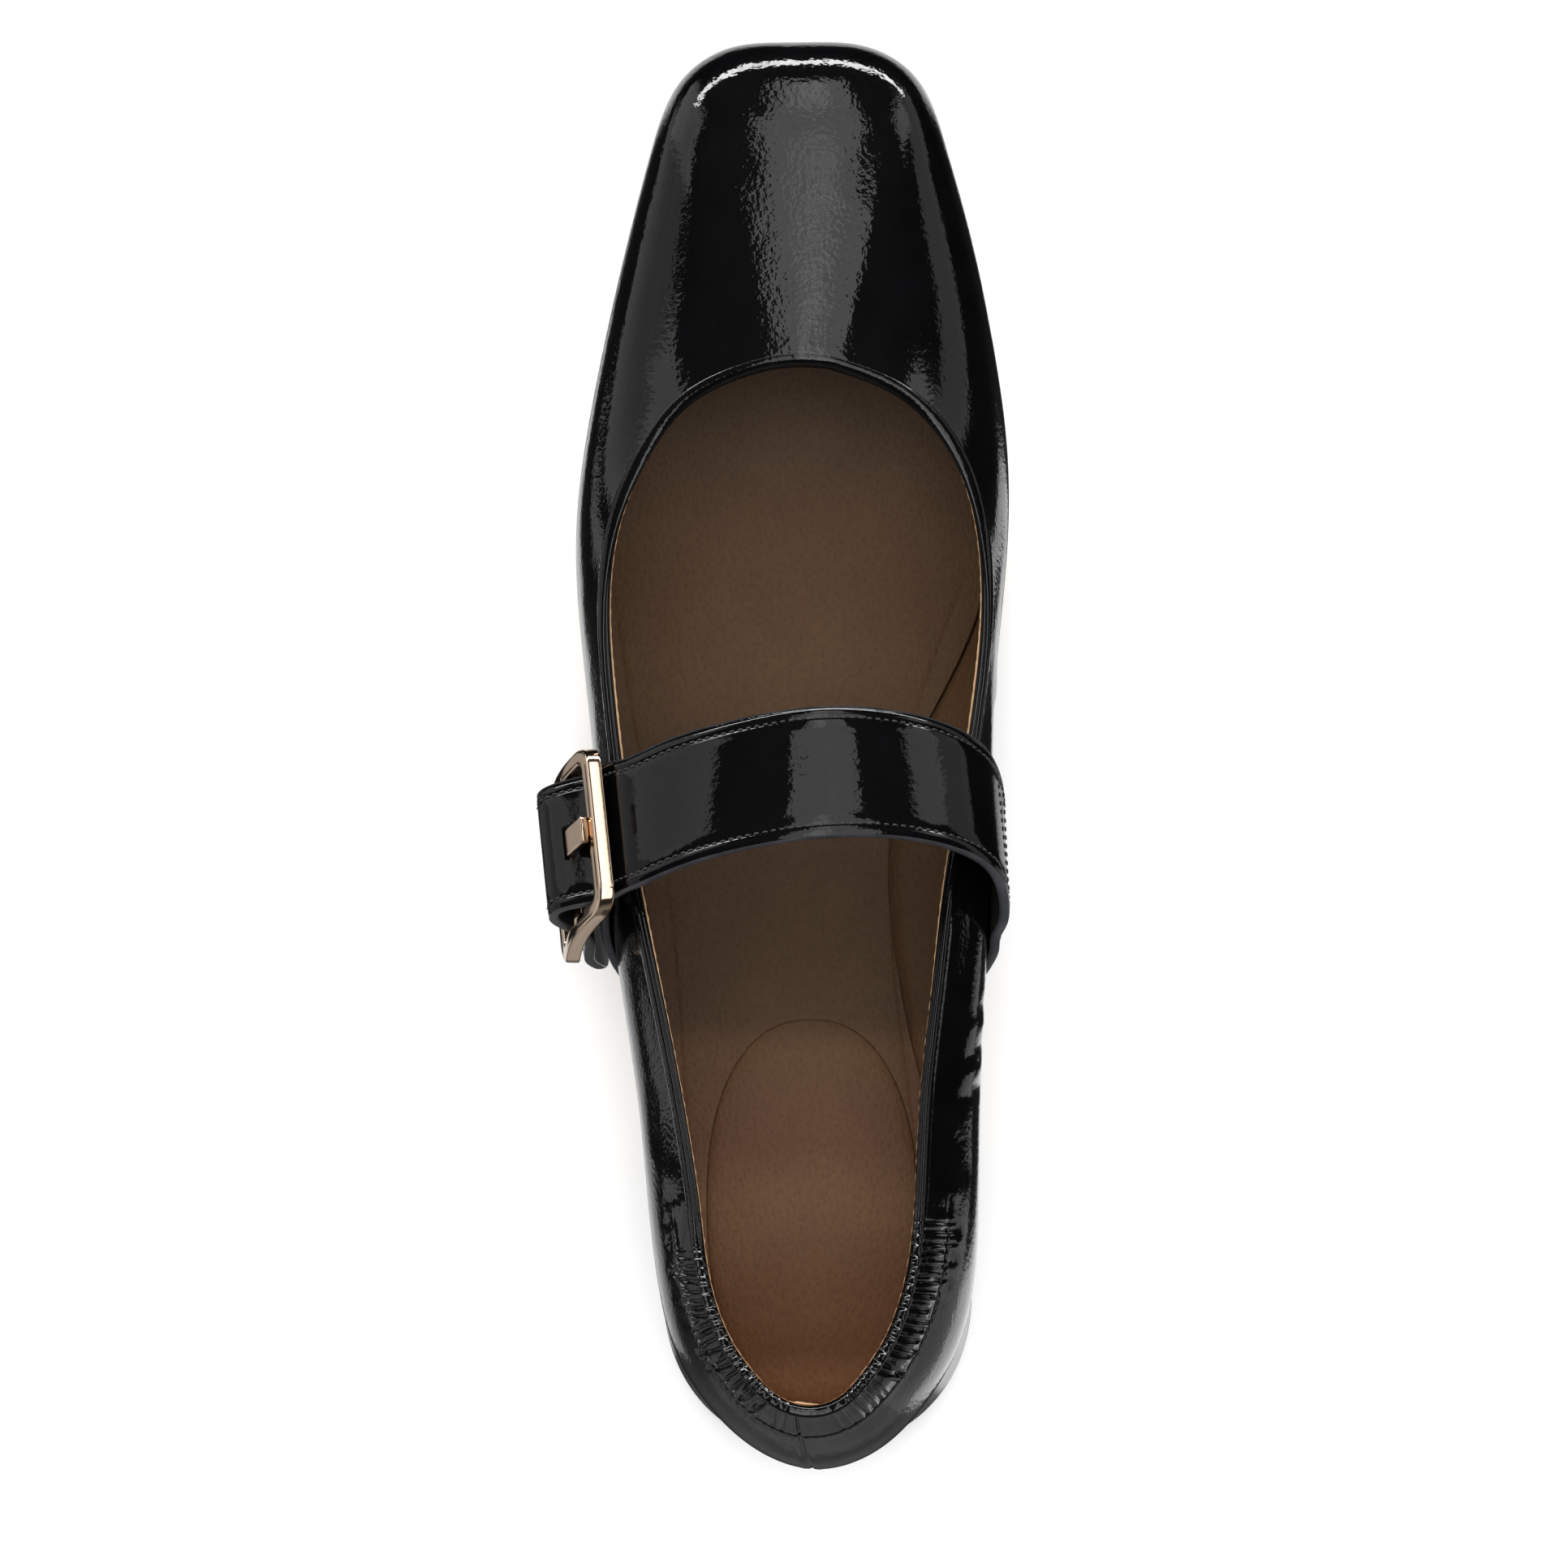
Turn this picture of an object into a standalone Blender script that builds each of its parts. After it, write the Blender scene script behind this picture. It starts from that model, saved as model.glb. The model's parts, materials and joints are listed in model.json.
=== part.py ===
"""Left ballet flat with an instep strap: last-shaped upper, sole, block heel, footbed, strap and buckle.

Shoe frame: X to the inner (medial) side, Y from heel to toe, Z up, floor at Z = 0. Tables are in
millimetres from the back of the heel; MM and SHIFT_X, SHIFT_Y bring them to metres about the origin.
"""
import math

import bmesh
import bpy
import numpy as np
from mathutils import Matrix, Vector

# ---------------------------------------------------------------- driving sizes, millimetres
MM = 0.001
SHIFT_X = 6.40  # puts the middle of the bounding box on X = 0
SHIFT_Y = -136.52  # puts the middle of the bounding box on Y = 0
GAP = 0.3  # room between two pieces that touch
WALL = 1.8  # upper: outer leather, stiffener and lining together
BREAST_Y = 62.0  # front face of the heel
SEAT_BACK_Z = 30.5  # heel seat height at the back
SEAT_PITCH = 0.07  # fall of the heel seat per millimetre forward
TREAD_START_Y = 168.0
TREAD_END_Y = 205.0
TREAD_THICK = 3.0
WAIST_THICK = 2.5
TOE_SPRING = 8.0
TOE_Y = 270.9
LIFT_THICK = 5.0
LIFT_HALF_WIDTH = 29.6
LIFT_BACK_Y = 2.1
INSOLE_THICK = 2.0
PAD_THICK = 0.9
STRAP_THICK = 2.0
BASE_THICK = 1.8
ELASTIC_THICK = 1.4
COLLAR_BAND = 7.0  # height of the gathered band at the back of the topline
COLLAR_STEP = 0.5

# One row per section around the shoe, heel to toe. c = widest line of the wall, t = topline,
# f = feather edge on the sole; lat is the outer side, med the inner side.
SECTION_COLUMNS = ("c_y", "c_lat", "c_med", "t_y", "t_lat", "t_med", "f_y", "f_lat", "f_med",
                   "z_c_lat", "z_c_med", "z_t", "rise", "reach", "slope_lat", "slope_med")
SECTIONS = (
    (2.1, -0.5, -0.5, 14.8, -2.0, -2.0, 4.2, -0.5, -0.5, 49.0, 49.0, 83.0, 15.0, 12.0, 62, 62),
    (5.9, -11.9, 11.3, 16.8, -8.4, 4.6, 7.6, -11.2, 10.6, 49.0, 49.0, 82.8, 15.0, 12.0, 62, 62),
    (13.7, -20.4, 19.4, 22.0, -13.8, 9.6, 15.0, -19.2, 18.2, 48.5, 48.5, 81.5, 15.0, 12.0, 63, 60),
    (23.8, -26.6, 25.7, 28.8, -18.2, 13.9, 24.4, -25.2, 24.2, 47.0, 47.5, 78.8, 14.5, 11.0, 64, 58),
    (36.8, -29.9, 29.2, 38.9, -21.5, 17.4, 36.8, -28.3, 27.5, 44.5, 45.5, 74.8, 13.5, 10.5, 65, 58),
    (52.0, -31.6, 30.4, 52.5, -23.3, 19.4, 52.0, -29.4, 27.4, 41.5, 43.5, 69.8, 12.5, 10.0, 66, 58),
    (70.0, -33.2, 31.0, 70.6, -26.0, 20.7, 70.0, -29.4, 21.8, 37.5, 40.5, 63.3, 11.5, 9.0, 68, 58),
    (90.0, -36.0, 32.2, 90.5, -29.7, 23.3, 90.0, -30.4, 17.2, 32.5, 38.0, 56.8, 10.5, 8.0, 70, 60),
    (110.0, -38.6, 33.3, 110.4, -33.6, 26.1, 110.0, -33.0, 14.9, 27.0, 35.5, 50.8, 10.0, 7.0, 73, 64),
    (130.0, -40.6, 34.3, 129.8, -36.5, 29.9, 130.0, -37.0, 18.2, 21.0, 30.0, 45.4, 10.0, 6.5, 76, 72),
    (150.0, -42.5, 35.5, 149.5, -38.5, 33.2, 150.0, -41.1, 28.9, 15.0, 20.5, 41.4, 12.0, 6.5, 77, 80),
    (166.5, -43.9, 37.5, 165.0, -38.9, 34.4, 166.5, -42.9, 35.9, 11.0, 12.5, 39.3, 14.0, 7.0, 73, 76),
    (181.5, -43.8, 38.7, 178.4, -36.9, 33.3, 181.5, -42.8, 37.8, 9.6, 9.8, 38.6, 15.0, 8.0, 64, 67),
    (197.0, -41.7, 38.3, 189.8, -32.0, 29.5, 197.0, -40.6, 37.4, 9.5, 9.5, 39.0, 16.5, 9.5, 49, 51),
    (213.0, -38.4, 36.2, 199.1, -25.4, 22.7, 213.0, -37.2, 35.1, 10.2, 10.2, 40.2, 18.0, 14.0, 34, 35),
    (232.0, -33.8, 32.6, 204.7, -17.2, 14.2, 232.0, -32.6, 31.4, 11.7, 11.7, 41.3, 18.8, 22.0, 22, 22),
    (250.8, -28.6, 27.7, 207.0, -10.6, 7.8, 250.3, -27.2, 26.4, 13.6, 13.6, 42.0, 18.6, 33.0, 15, 15),
    (264.8, -22.0, 21.4, 208.0, -6.3, 4.3, 263.6, -20.8, 20.2, 15.1, 15.1, 42.3, 17.6, 42.0, 12.5, 12.5),
    (269.9, -13.8, 12.8, 208.3, -3.5, 1.6, 268.6, -12.8, 11.9, 15.9, 15.9, 42.4, 17.0, 45.0, 12, 12),
    (270.9, -0.5, -0.5, 208.4, -1.0, -1.0, 269.6, -0.5, -0.5, 16.2, 16.2, 42.5, 17.0, 46.0, 12, 12),
)

# Free part of the strap, inner side to outer side: middle of its thickness at the rear and front edges.
STRAP_COLUMNS = ("rear_x", "rear_y", "rear_z", "front_x", "front_y", "front_z")
STRAP_ROWS = (
    (35.4, 102.8, 42.4, 35.4, 127.8, 37.2),
    (35.7, 107.7, 49.0, 33.8, 133.0, 43.2),
    (33.4, 113.2, 56.3, 30.6, 137.0, 49.4),
    (27.2, 117.1, 62.0, 24.8, 140.2, 54.2),
    (16.0, 119.7, 66.2, 14.8, 142.8, 58.2),
    (0.0, 119.9, 68.2, 0.0, 143.5, 60.2),
    (-15.0, 117.5, 66.7, -15.4, 141.0, 58.2),
    (-26.0, 114.2, 63.2, -27.2, 137.5, 53.8),
    (-32.6, 111.4, 60.0, -34.4, 134.5, 50.0),
)
# Strap through the buckle: place along the frame (down), stand-off from the frame's chord, half width.
STRAP_IN_BUCKLE = (
    (0.0, -3.5, 13.0),
    (4.4, -1.1, 12.8),
    (7.8, 3.4, 12.6),
    (11.2, 6.4, 12.4),
    (15.0, 5.7, 12.3),
    (19.4, 0.9, 12.3),
    (24.5, -3.5, 12.2),
)
# Free end of the strap below the buckle: middle point and half width.
STRAP_END_ROWS = (
    (-43.3, 107.6, 23.5, 11.2),
    (-41.6, 104.3, 17.6, 9.0),
    (-40.4, 101.4, 13.4, 3.4),
)
# Sewn legs: share of the wall height, then rear and front edge along the shoe.
STRAP_LEG = ((0.015, 83.5, 107.0), (0.10, 87.3, 110.6), (0.19, 92.2, 116.2), (0.28, 98.1, 122.6),
             (0.34, 100.3, 124.6))
BASE_LEG = ((0.015, 88.5, 113.0), (0.10, 92.0, 116.5), (0.19, 96.0, 120.5), (0.28, 100.5, 124.5),
            (0.40, 104.5, 127.5), (0.50, 107.0, 129.5))

BUCKLE_AT = (-39.6, 122.3, 52.5)  # middle of the upper bar
BUCKLE_ALONG = (-0.09, 0.905, -0.42)  # along the bars, towards the toe
BUCKLE_DOWN = (-0.28, -0.42, -0.863)
BUCKLE_HALF = 15.5  # half the bar length, to the middle of the side bars
BUCKLE_DROP = 25.5  # upper bar to lower bar
BUCKLE_BOW = 1.6  # how far the middle of the frame stands out
BUCKLE_CORNER = 3.2
BAR_WIDE = 3.8
SIDE_WIDE = 3.2
BAR_THICK = 2.8
CENTRE_BAR_DOWN = 11.0
CENTRE_BAR_OUT = 2.2  # centre bar above the frame's chord
CENTRE_BAR_RADIUS = 1.0
PRONG_WIDE = 5.8
PRONG_THICK = 1.4

# ---------------------------------------------------------------- curves and sections


def periodic_spline(knots, values, at):
    """Smooth closed curve through the rows of values, read at parameters 0..1."""
    n = len(knots)
    h = np.diff(np.append(knots, 1.0 + knots[0]))
    step = (np.roll(values, -1, 0) - values) / h[:, None]
    a = np.zeros((n, n))
    rhs = np.zeros_like(values)
    for i in range(n):
        before = (i - 1) % n
        a[i, before] += h[before]
        a[i, i] += 2 * (h[before] + h[i])
        a[i, (i + 1) % n] += h[i]
        rhs[i] = 6 * (step[i] - step[before])
    m = np.linalg.solve(a, rhs)
    at = np.mod(at, 1.0)
    i = np.clip(np.searchsorted(knots, at, side="right") - 1, 0, n - 1)
    t = (at - knots[i])[..., None]
    hi = h[i][..., None]
    m0 = m[i]
    m1 = m[(i + 1) % n]
    y0 = values[i]
    y1 = values[(i + 1) % n]
    slope = (y1 - y0) / hi - hi * (2 * m0 + m1) / 6
    return y0 + slope * t + m0 * t * t / 2 + (m1 - m0) * t ** 3 / (6 * hi)


def open_spline(values, at):
    """Smooth open curve through rows of points, read at parameters 0..1 spaced by length."""
    values = np.asarray(values, float)
    gaps = np.linalg.norm(np.diff(values, axis=0), axis=1) ** 0.7
    knots = np.append(0.0, np.cumsum(gaps))
    knots /= knots[-1]
    n = len(knots)
    h = np.diff(knots)
    a = np.eye(n)
    rhs = np.zeros_like(values)
    for i in range(1, n - 1):
        a[i, i - 1:i + 2] = (h[i - 1], 2 * (h[i - 1] + h[i]), h[i])
        rhs[i] = 6 * ((values[i + 1] - values[i]) / h[i] - (values[i] - values[i - 1]) / h[i - 1])
    m = np.linalg.solve(a, rhs)
    i = np.clip(np.searchsorted(knots, at, side="right") - 1, 0, n - 2)
    t = (at - knots[i])[:, None]
    hi = h[i][:, None]
    slope = (values[i + 1] - values[i]) / hi - hi * (2 * m[i] + m[i + 1]) / 6
    return values[i] + slope * t + m[i] * t * t / 2 + (m[i + 1] - m[i]) * t ** 3 / (6 * hi)


def sole_top(y):
    """Height of the feather plane: heel seat, shank curve, tread, toe spring."""
    y = np.asarray(y, float)
    seat = SEAT_BACK_Z - SEAT_PITCH * y
    end = SEAT_BACK_Z - SEAT_PITCH * BREAST_Y
    run = TREAD_START_Y - BREAST_Y
    s = np.clip((y - BREAST_Y) / run, 0, 1)
    shank = (end * (1 - 3 * s ** 2 + 2 * s ** 3) - SEAT_PITCH * run * (s - 2 * s ** 2 + s ** 3)
             + TREAD_THICK * (3 * s ** 2 - 2 * s ** 3))
    toe = np.clip((y - TREAD_END_Y) / (TOE_Y - TREAD_END_Y), 0, 2)
    return np.where(y < BREAST_Y, seat, shank + TOE_SPRING * toe ** 2)


def sole_thick(y):
    s = np.clip((np.asarray(y, float) - 120.0) / 45.0, 0, 1)
    return WAIST_THICK + (TREAD_THICK - WAIST_THICK) * (3 * s ** 2 - 2 * s ** 3)


def section_rows():
    """The table as one closed ring of stations: heel, inner side, toe, outer side."""
    col = {name: i for i, name in enumerate(SECTION_COLUMNS)}
    ring = []
    for side, rows in (("med", SECTIONS), ("lat", SECTIONS[-2:0:-1])):
        for r in rows:
            f_y = r[col["f_y"]]
            ring.append((
                r[col["c_" + side]], r[col["c_y"]], r[col["z_c_" + side]],
                r[col["t_" + side]], r[col["t_y"]], r[col["z_t"]],
                r[col["f_" + side]], f_y, float(sole_top(f_y)) + GAP,
                r[col["rise"]], r[col["reach"]], r[col["slope_" + side]],
            ))
    return np.array(ring)


RING = section_rows()
STEPS = np.linalg.norm(np.diff(np.vstack([RING[:, :2], RING[:1, :2]]), axis=0), axis=1)
KNOTS = np.append(0.0, np.cumsum(STEPS)[:-1]) / STEPS.sum()
BULGE = 0.30  # share of the wall's rows that lie below its widest line


def bezier(p0, p1, p2, p3, t):
    return (1 - t) ** 3 * p0 + 3 * (1 - t) ** 2 * t * p1 + 3 * (1 - t) * t * t * p2 + t ** 3 * p3


def wall_point(u, v):
    """Outer surface of the upper: u runs round the shoe, v from the feather edge to the topline."""
    u, v = np.broadcast_arrays(np.asarray(u, float), np.asarray(v, float))
    s = periodic_spline(KNOTS, RING, u)
    c, top, f = s[..., 0:3], s[..., 3:6], s[..., 6:9]
    rise, reach, slope = s[..., 9:10], s[..., 10:11], np.radians(s[..., 11:12])
    up = np.array((0.0, 0.0, 1.0))
    out = (c - f) * np.array((1.0, 1.0, 0.0))
    under = bezier(f, f + 0.5 * out + 0.22 * (c - f) * up, c - 0.5 * (c - f) * up, c,
                   np.clip(v / BULGE, 0, 1)[..., None])
    across = (top - c) * np.array((1.0, 1.0, 0.0))
    across = across / np.linalg.norm(across, axis=-1, keepdims=True)
    lead = np.cos(slope) * across + np.sin(slope) * up
    over = bezier(c, c + rise * up, top - reach * lead, top,
                  np.clip((v - BULGE) / (1 - BULGE), 0, 1)[..., None])
    return np.where((v < BULGE)[..., None], under, over)


def wall_normal(u, v):
    e = 1e-4
    lo = np.clip(v - e, 0, 1)
    hi = np.clip(v + e, 0, 1)
    du = wall_point(u + e, v) - wall_point(u - e, v)
    dv = wall_point(u, hi) - wall_point(u, lo)
    n = np.cross(du, dv)
    return n / np.linalg.norm(n, axis=-1, keepdims=True)


def collar_swell(u, v):
    """Step in the wall for the gathered band: full at the back of the topline, none at the sides."""
    p = wall_point(u, v)
    top = wall_point(u, np.ones_like(v))
    depth = np.linalg.norm(p - top, axis=-1)
    band = 1 - np.clip((depth - COLLAR_BAND + 1.0) / 1.6, 0, 1)
    back = 1 - np.clip((top[..., 1] - 40.0) / 12.0, 0, 1)
    return COLLAR_STEP * band * back * back * (3 - 2 * back)


def side_u(side, y):
    """Round-the-shoe parameter of the widest line at a given place along one side."""
    u = np.linspace(0.0, 1.0, 4001)
    s = periodic_spline(KNOTS, RING, u)
    toe = int(np.argmax(s[:, 1]))
    part = slice(0, toe + 1) if side == "med" else slice(toe, 4001)
    ys, us = s[part, 1], u[part]
    if side == "lat":
        ys, us = ys[::-1], us[::-1]
    return np.interp(y, ys, us)


def feather(inset):
    """Closed plan outline of the feather edge, moved inward by inset: heel, inner side, toe, outer side."""
    u = np.linspace(0, 1, 1201)[:-1]
    p = periodic_spline(KNOTS, RING, u)[:, 6:8]
    t = np.roll(p, -1, 0) - np.roll(p, 1, 0)
    t /= np.linalg.norm(t, axis=1)[:, None]
    return p + inset * np.stack([-t[:, 1], t[:, 0]], axis=1)


def sides_at(outline, y):
    """Outer-side and inner-side x of an outline at places y."""
    heel, toe = int(np.argmin(outline[:, 1])), int(np.argmax(outline[:, 1]))
    loop = np.roll(outline, -heel, 0)
    toe = (toe - heel) % len(loop)
    med, lat = loop[:toe + 1], np.vstack([loop[toe:], loop[:1]])[::-1]
    return np.interp(y, lat[:, 1], lat[:, 0]), np.interp(y, med[:, 1], med[:, 0])


def sole_rows(y0, y1, count, ease):
    """Places along the shoe, closer together near an end that is rounded in plan."""
    t = np.linspace(0, 1, count)
    if ease == "both":
        t = 0.5 - 0.5 * np.cos(np.pi * t)
    if ease == "toe":
        t = np.sin(0.5 * np.pi * t)
    return y0 + (y1 - y0) * t


# ---------------------------------------------------------------- mesh makers

for old in list(bpy.data.objects):
    bpy.data.objects.remove(old, do_unlink=True)
SHOE = bpy.data.collections.new("ballet_flat")
bpy.context.scene.collection.children.link(SHOE)
CUTTERS = bpy.data.collections.new("cutters")
bpy.context.scene.collection.children.link(CUTTERS)


def material(name, colour, rough, metal=0.0):
    made = bpy.data.materials.new(name)
    made.use_nodes = True
    node = made.node_tree.nodes["Principled BSDF"]
    node.inputs["Base Color"].default_value = (*colour, 1.0)
    node.inputs["Roughness"].default_value = rough
    node.inputs["Metallic"].default_value = metal
    return made


PATENT = material("patent_black", (0.012, 0.012, 0.014), 0.08)
LINING = material("footbed_brown", (0.12, 0.06, 0.03), 0.6)
OUTSOLE = material("outsole_beige", (0.62, 0.45, 0.30), 0.55)
HEEL = material("heel_black", (0.02, 0.02, 0.022), 0.25)
LIFT = material("lift_rubber", (0.035, 0.035, 0.038), 0.6)
KNIT = material("elastic_black", (0.015, 0.015, 0.018), 0.85)
GOLD = material("buckle_rose_gold", (0.85, 0.58, 0.42), 0.15, 1.0)


def to_metres(points):
    return (np.asarray(points, float) + np.array((SHIFT_X, SHIFT_Y, 0.0))) * MM


def add_object(name, points, faces, look, collection=SHOE):
    mesh = bpy.data.meshes.new(name)
    mesh.from_pydata([tuple(p) for p in to_metres(points)], [], faces)
    mesh.validate()
    work = bmesh.new()
    work.from_mesh(mesh)
    bmesh.ops.recalc_face_normals(work, faces=work.faces)
    work.to_mesh(mesh)
    work.free()
    mesh.materials.append(look)
    for face in mesh.polygons:
        face.use_smooth = True
    obj = bpy.data.objects.new(name, mesh)
    collection.objects.link(obj)
    return obj


def tube_faces(rows, cols, close_rows):
    """Quads of a tube: every row is a closed ring of cols points."""
    last = rows if close_rows else rows - 1
    return [(i * cols + j, i * cols + (j + 1) % cols,
             ((i + 1) % rows) * cols + (j + 1) % cols, ((i + 1) % rows) * cols + j)
            for i in range(last) for j in range(cols)]


def loft(name, rings, look, close_rows=False, collection=SHOE):
    """Skin over rings of equal count; open lofts get flat end caps."""
    rings = np.asarray(rings, float)
    rows, cols = rings.shape[:2]
    faces = tube_faces(rows, cols, close_rows)
    if not close_rows:
        faces.append(tuple(range(cols))[::-1])
        faces.append(tuple((rows - 1) * cols + j for j in range(cols)))
    return add_object(name, rings.reshape(-1, 3), faces, look, collection)


def ribbon_rings(sheet, normals, thick, centred):
    """Rings round a strip: sheet is rows by columns of points."""
    half = 0.5 * thick
    near = sheet - normals * half if centred else sheet
    far = sheet + normals * (half if centred else thick)
    mid_a = 0.5 * (near[:, :1] + far[:, :1])
    mid_b = 0.5 * (near[:, -1:] + far[:, -1:])
    edge_a = (sheet[:, :1] - sheet[:, 1:2])
    edge_b = (sheet[:, -1:] - sheet[:, -2:-1])
    edge_a = 0.25 * edge_a / np.linalg.norm(edge_a, axis=-1, keepdims=True)
    edge_b = 0.25 * edge_b / np.linalg.norm(edge_b, axis=-1, keepdims=True)
    return np.concatenate([far, mid_b + edge_b, near[:, ::-1], mid_a + edge_a], axis=1)


def sheet_normals(sheet):
    ds = np.gradient(sheet, axis=0)
    dw = np.gradient(sheet, axis=1)
    n = np.cross(dw, ds)
    return n / np.linalg.norm(n, axis=-1, keepdims=True)


# ---------------------------------------------------------------- sole, heel, footbed


def slab_rings(outline, ys, top, bottom, edge):
    """Sections across the shoe of a slab: rounded side edges, flat or curved faces between."""
    lat, med = sides_at(outline, ys)
    rings = []
    for i, y in enumerate(ys):
        room = min(edge, 0.3 * (med[i] - lat[i]))
        across = np.linspace(lat[i] + room, med[i] - room, 6)
        lift = 0.6 * edge
        ring = [(x, y, bottom[i]) for x in across]
        ring += [(med[i], y, bottom[i] + lift), (med[i], y, top[i] - lift)]
        ring += [(x, y, top[i]) for x in across[::-1]]
        ring += [(lat[i], y, top[i] - lift), (lat[i], y, bottom[i] + lift)]
        rings.append(ring)
    return rings


def build_outsole():
    edge = feather(0.0)
    ys = np.concatenate([sole_rows(BREAST_Y + 0.15, 200.0, 26, "even"),
                         sole_rows(200.0, 269.45, 16, "toe")[1:]])
    top = sole_top(ys)
    loft("outsole", slab_rings(edge, ys, top, top - sole_thick(ys), 0.6), OUTSOLE)


def build_insole():
    edge = feather(WALL + 0.4)
    ys = sole_rows(edge[:, 1].min() + 0.25, edge[:, 1].max() - 0.12, 44, "both")
    low = sole_top(ys) + GAP
    loft("insole", slab_rings(edge, ys, low + INSOLE_THICK, low, 0.5), LINING)


def build_heel_pad():
    """Oval cushion on the footbed under the heel."""
    rings = []
    centre_x, centre_y, half_wide, half_long = -0.8, 49.0, 20.0, 36.2
    ts = -np.cos(np.linspace(0.045, 0.955, 23) * np.pi)
    for t in ts:
        y = centre_y + half_long * t
        w = half_wide * (1 - abs(t) ** 2.3) ** (1 / 2.3)
        low = float(sole_top(y)) + GAP + INSOLE_THICK + 0.15
        ring = [(centre_x + w * q, y, low) for q in (-1.0, -0.5, 0.0, 0.5, 1.0)]
        ring += [(centre_x + w * q, y, low + PAD_THICK * (1 - 0.55 * q ** 4)) for q in (1, 0.9, 0.5, 0, -0.5, -0.9, -1)]
        rings.append(ring)
    loft("heel_pad", rings, LINING)


def lift_outline(count, grow=0.0):
    """D-shaped heel outline from the outer breast corner round the back to the inner one."""
    a, b, n = LIFT_HALF_WIDTH + grow, 31.0 + grow, 2.2
    centre_y = LIFT_BACK_Y + 31.0
    ang = np.linspace(np.pi, 2 * np.pi, 400)
    c, s = np.cos(ang), np.sin(ang)
    x = a * np.sign(c) * np.abs(c) ** (2 / n)
    y = centre_y + b * np.sign(s) * np.abs(s) ** (2 / n)
    front = BREAST_Y + grow
    line = np.concatenate([[(-a, front)], [(-a, front - 8)], np.stack([x, y], 1), [(a, front - 8)], [(a, front)]])
    return resample(line, count)


def resample(line, count):
    run = np.append(0.0, np.cumsum(np.linalg.norm(np.diff(line, axis=0), axis=1)))
    at = np.linspace(0, run[-1], count)
    return np.stack([np.interp(at, run, line[:, 0]), np.interp(at, run, line[:, 1])], axis=1)


def rounded_front(line, radius):
    """The outline with its two breast corners rounded."""
    out = [p for p in line if p[1] < line[0][1] - radius - 0.2]
    left, right = line[0], line[-1]
    corner_l = [(left[0] + radius * (1 - math.cos(t)), left[1] - radius * (1 - math.sin(t)))
                for t in np.radians((90, 60, 30, 0))]
    corner_r = [(right[0] - radius * (1 - math.cos(t)), right[1] - radius * (1 - math.sin(t)))
                for t in np.radians((0, 30, 60, 90))]
    return np.array(corner_l + out + corner_r)


def build_heel():
    count = 47
    edge = feather(0.0)
    heel = int(np.argmin(edge[:, 1]))
    loop = np.roll(edge, -heel, 0)
    toe = int(np.argmax(loop[:, 1]))
    front = BREAST_Y - 0.15
    med = [p for p in loop[:toe] if p[1] < front]
    lat = [p for p in loop[toe:] if p[1] < front]
    ends = sides_at(edge, np.array([front]))
    line = np.vstack([[(ends[0][0], front)], lat, med, [(ends[1][0], front)]])
    upper = resample(line, count)
    lower = lift_outline(count)
    lower[0, 1] = lower[-1, 1] = BREAST_Y - 1.0
    rings = []
    for t in (0.0, 0.03, 0.2, 0.4, 0.6, 0.8, 0.97, 1.0):
        waist = -0.5 * math.sin(math.pi * t)
        plan = upper * (1 - t) + lower * t
        mid = np.array((0.0, 36.0))
        away = plan - mid
        away /= np.linalg.norm(away, axis=1)[:, None]
        trim = waist - (0.35 if t in (0.0, 1.0) else 0.0)
        plan = rounded_front(plan + away * trim, 1.6)
        high = sole_top(plan[:, 1])
        z = high * (1 - t) + (LIFT_THICK + GAP) * t
        rings.append(np.column_stack([plan, z]))
    least = min(len(r) for r in rings)
    rings = [r if len(r) == least else np.column_stack([resample(r[:, :2], least), np.interp(
        np.linspace(0, 1, least), np.linspace(0, 1, len(r)), r[:, 2])]) for r in rings]
    loft("heel_block", rings, HEEL)
    lift = rounded_front(lift_outline(count), 1.6)
    lift[:, 1] = np.minimum(lift[:, 1], BREAST_Y - 1.0)
    rings = []
    for z, trim in ((0.0, -0.7), (0.7, 0.0), (LIFT_THICK - 0.3, 0.0), (LIFT_THICK, -0.3)):
        away = lift - np.array((0.0, 36.0))
        away /= np.linalg.norm(away, axis=1)[:, None]
        plan = lift + away * trim
        rings.append(np.column_stack([plan, np.full(len(plan), z)]))
    loft("top_lift", rings, LIFT)


# ---------------------------------------------------------------- upper


def build_upper():
    us = np.concatenate([np.linspace(a, b, 3, endpoint=False)
                         for a, b in zip(KNOTS, np.append(KNOTS[1:], 1.0))])
    vs = np.array((0.0, 0.10, 0.20, 0.30, 0.42, 0.55, 0.68, 0.80, 0.90, 0.96, 1.0))
    u, v = np.meshgrid(us, vs, indexing="ij")
    outer = wall_point(u, v)
    normal = wall_normal(u, v)
    inner = outer - WALL * normal
    outer = outer + collar_swell(u, v)[..., None] * normal
    # The bottom edge is a level rim on the sole, as thick as the wall.
    t = np.roll(outer[:, 0], -1, 0) - np.roll(outer[:, 0], 1, 0)
    t = t / np.linalg.norm(t, axis=1)[:, None]
    side = np.stack([-t[:, 1], t[:, 0], np.zeros(len(t))], axis=1)
    rim = outer[:, 0] + WALL * side
    rim[:, 2] = sole_top(rim[:, 1]) + GAP
    # Folded topline: the edge is rounded over, a little below the two faces' ends.
    crown = 0.5 * (outer[:, -1] + inner[:, -1])
    lead = outer[:, -1] - outer[:, -2]
    crown = crown + 0.55 * lead / np.linalg.norm(lead, axis=1)[:, None]
    ring = np.concatenate([outer, crown[:, None], inner[:, :1:-1], rim[:, None]], axis=1)
    loft("upper", ring, PATENT, close_rows=True)


# ---------------------------------------------------------------- strap, base, elastic, buckle


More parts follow.
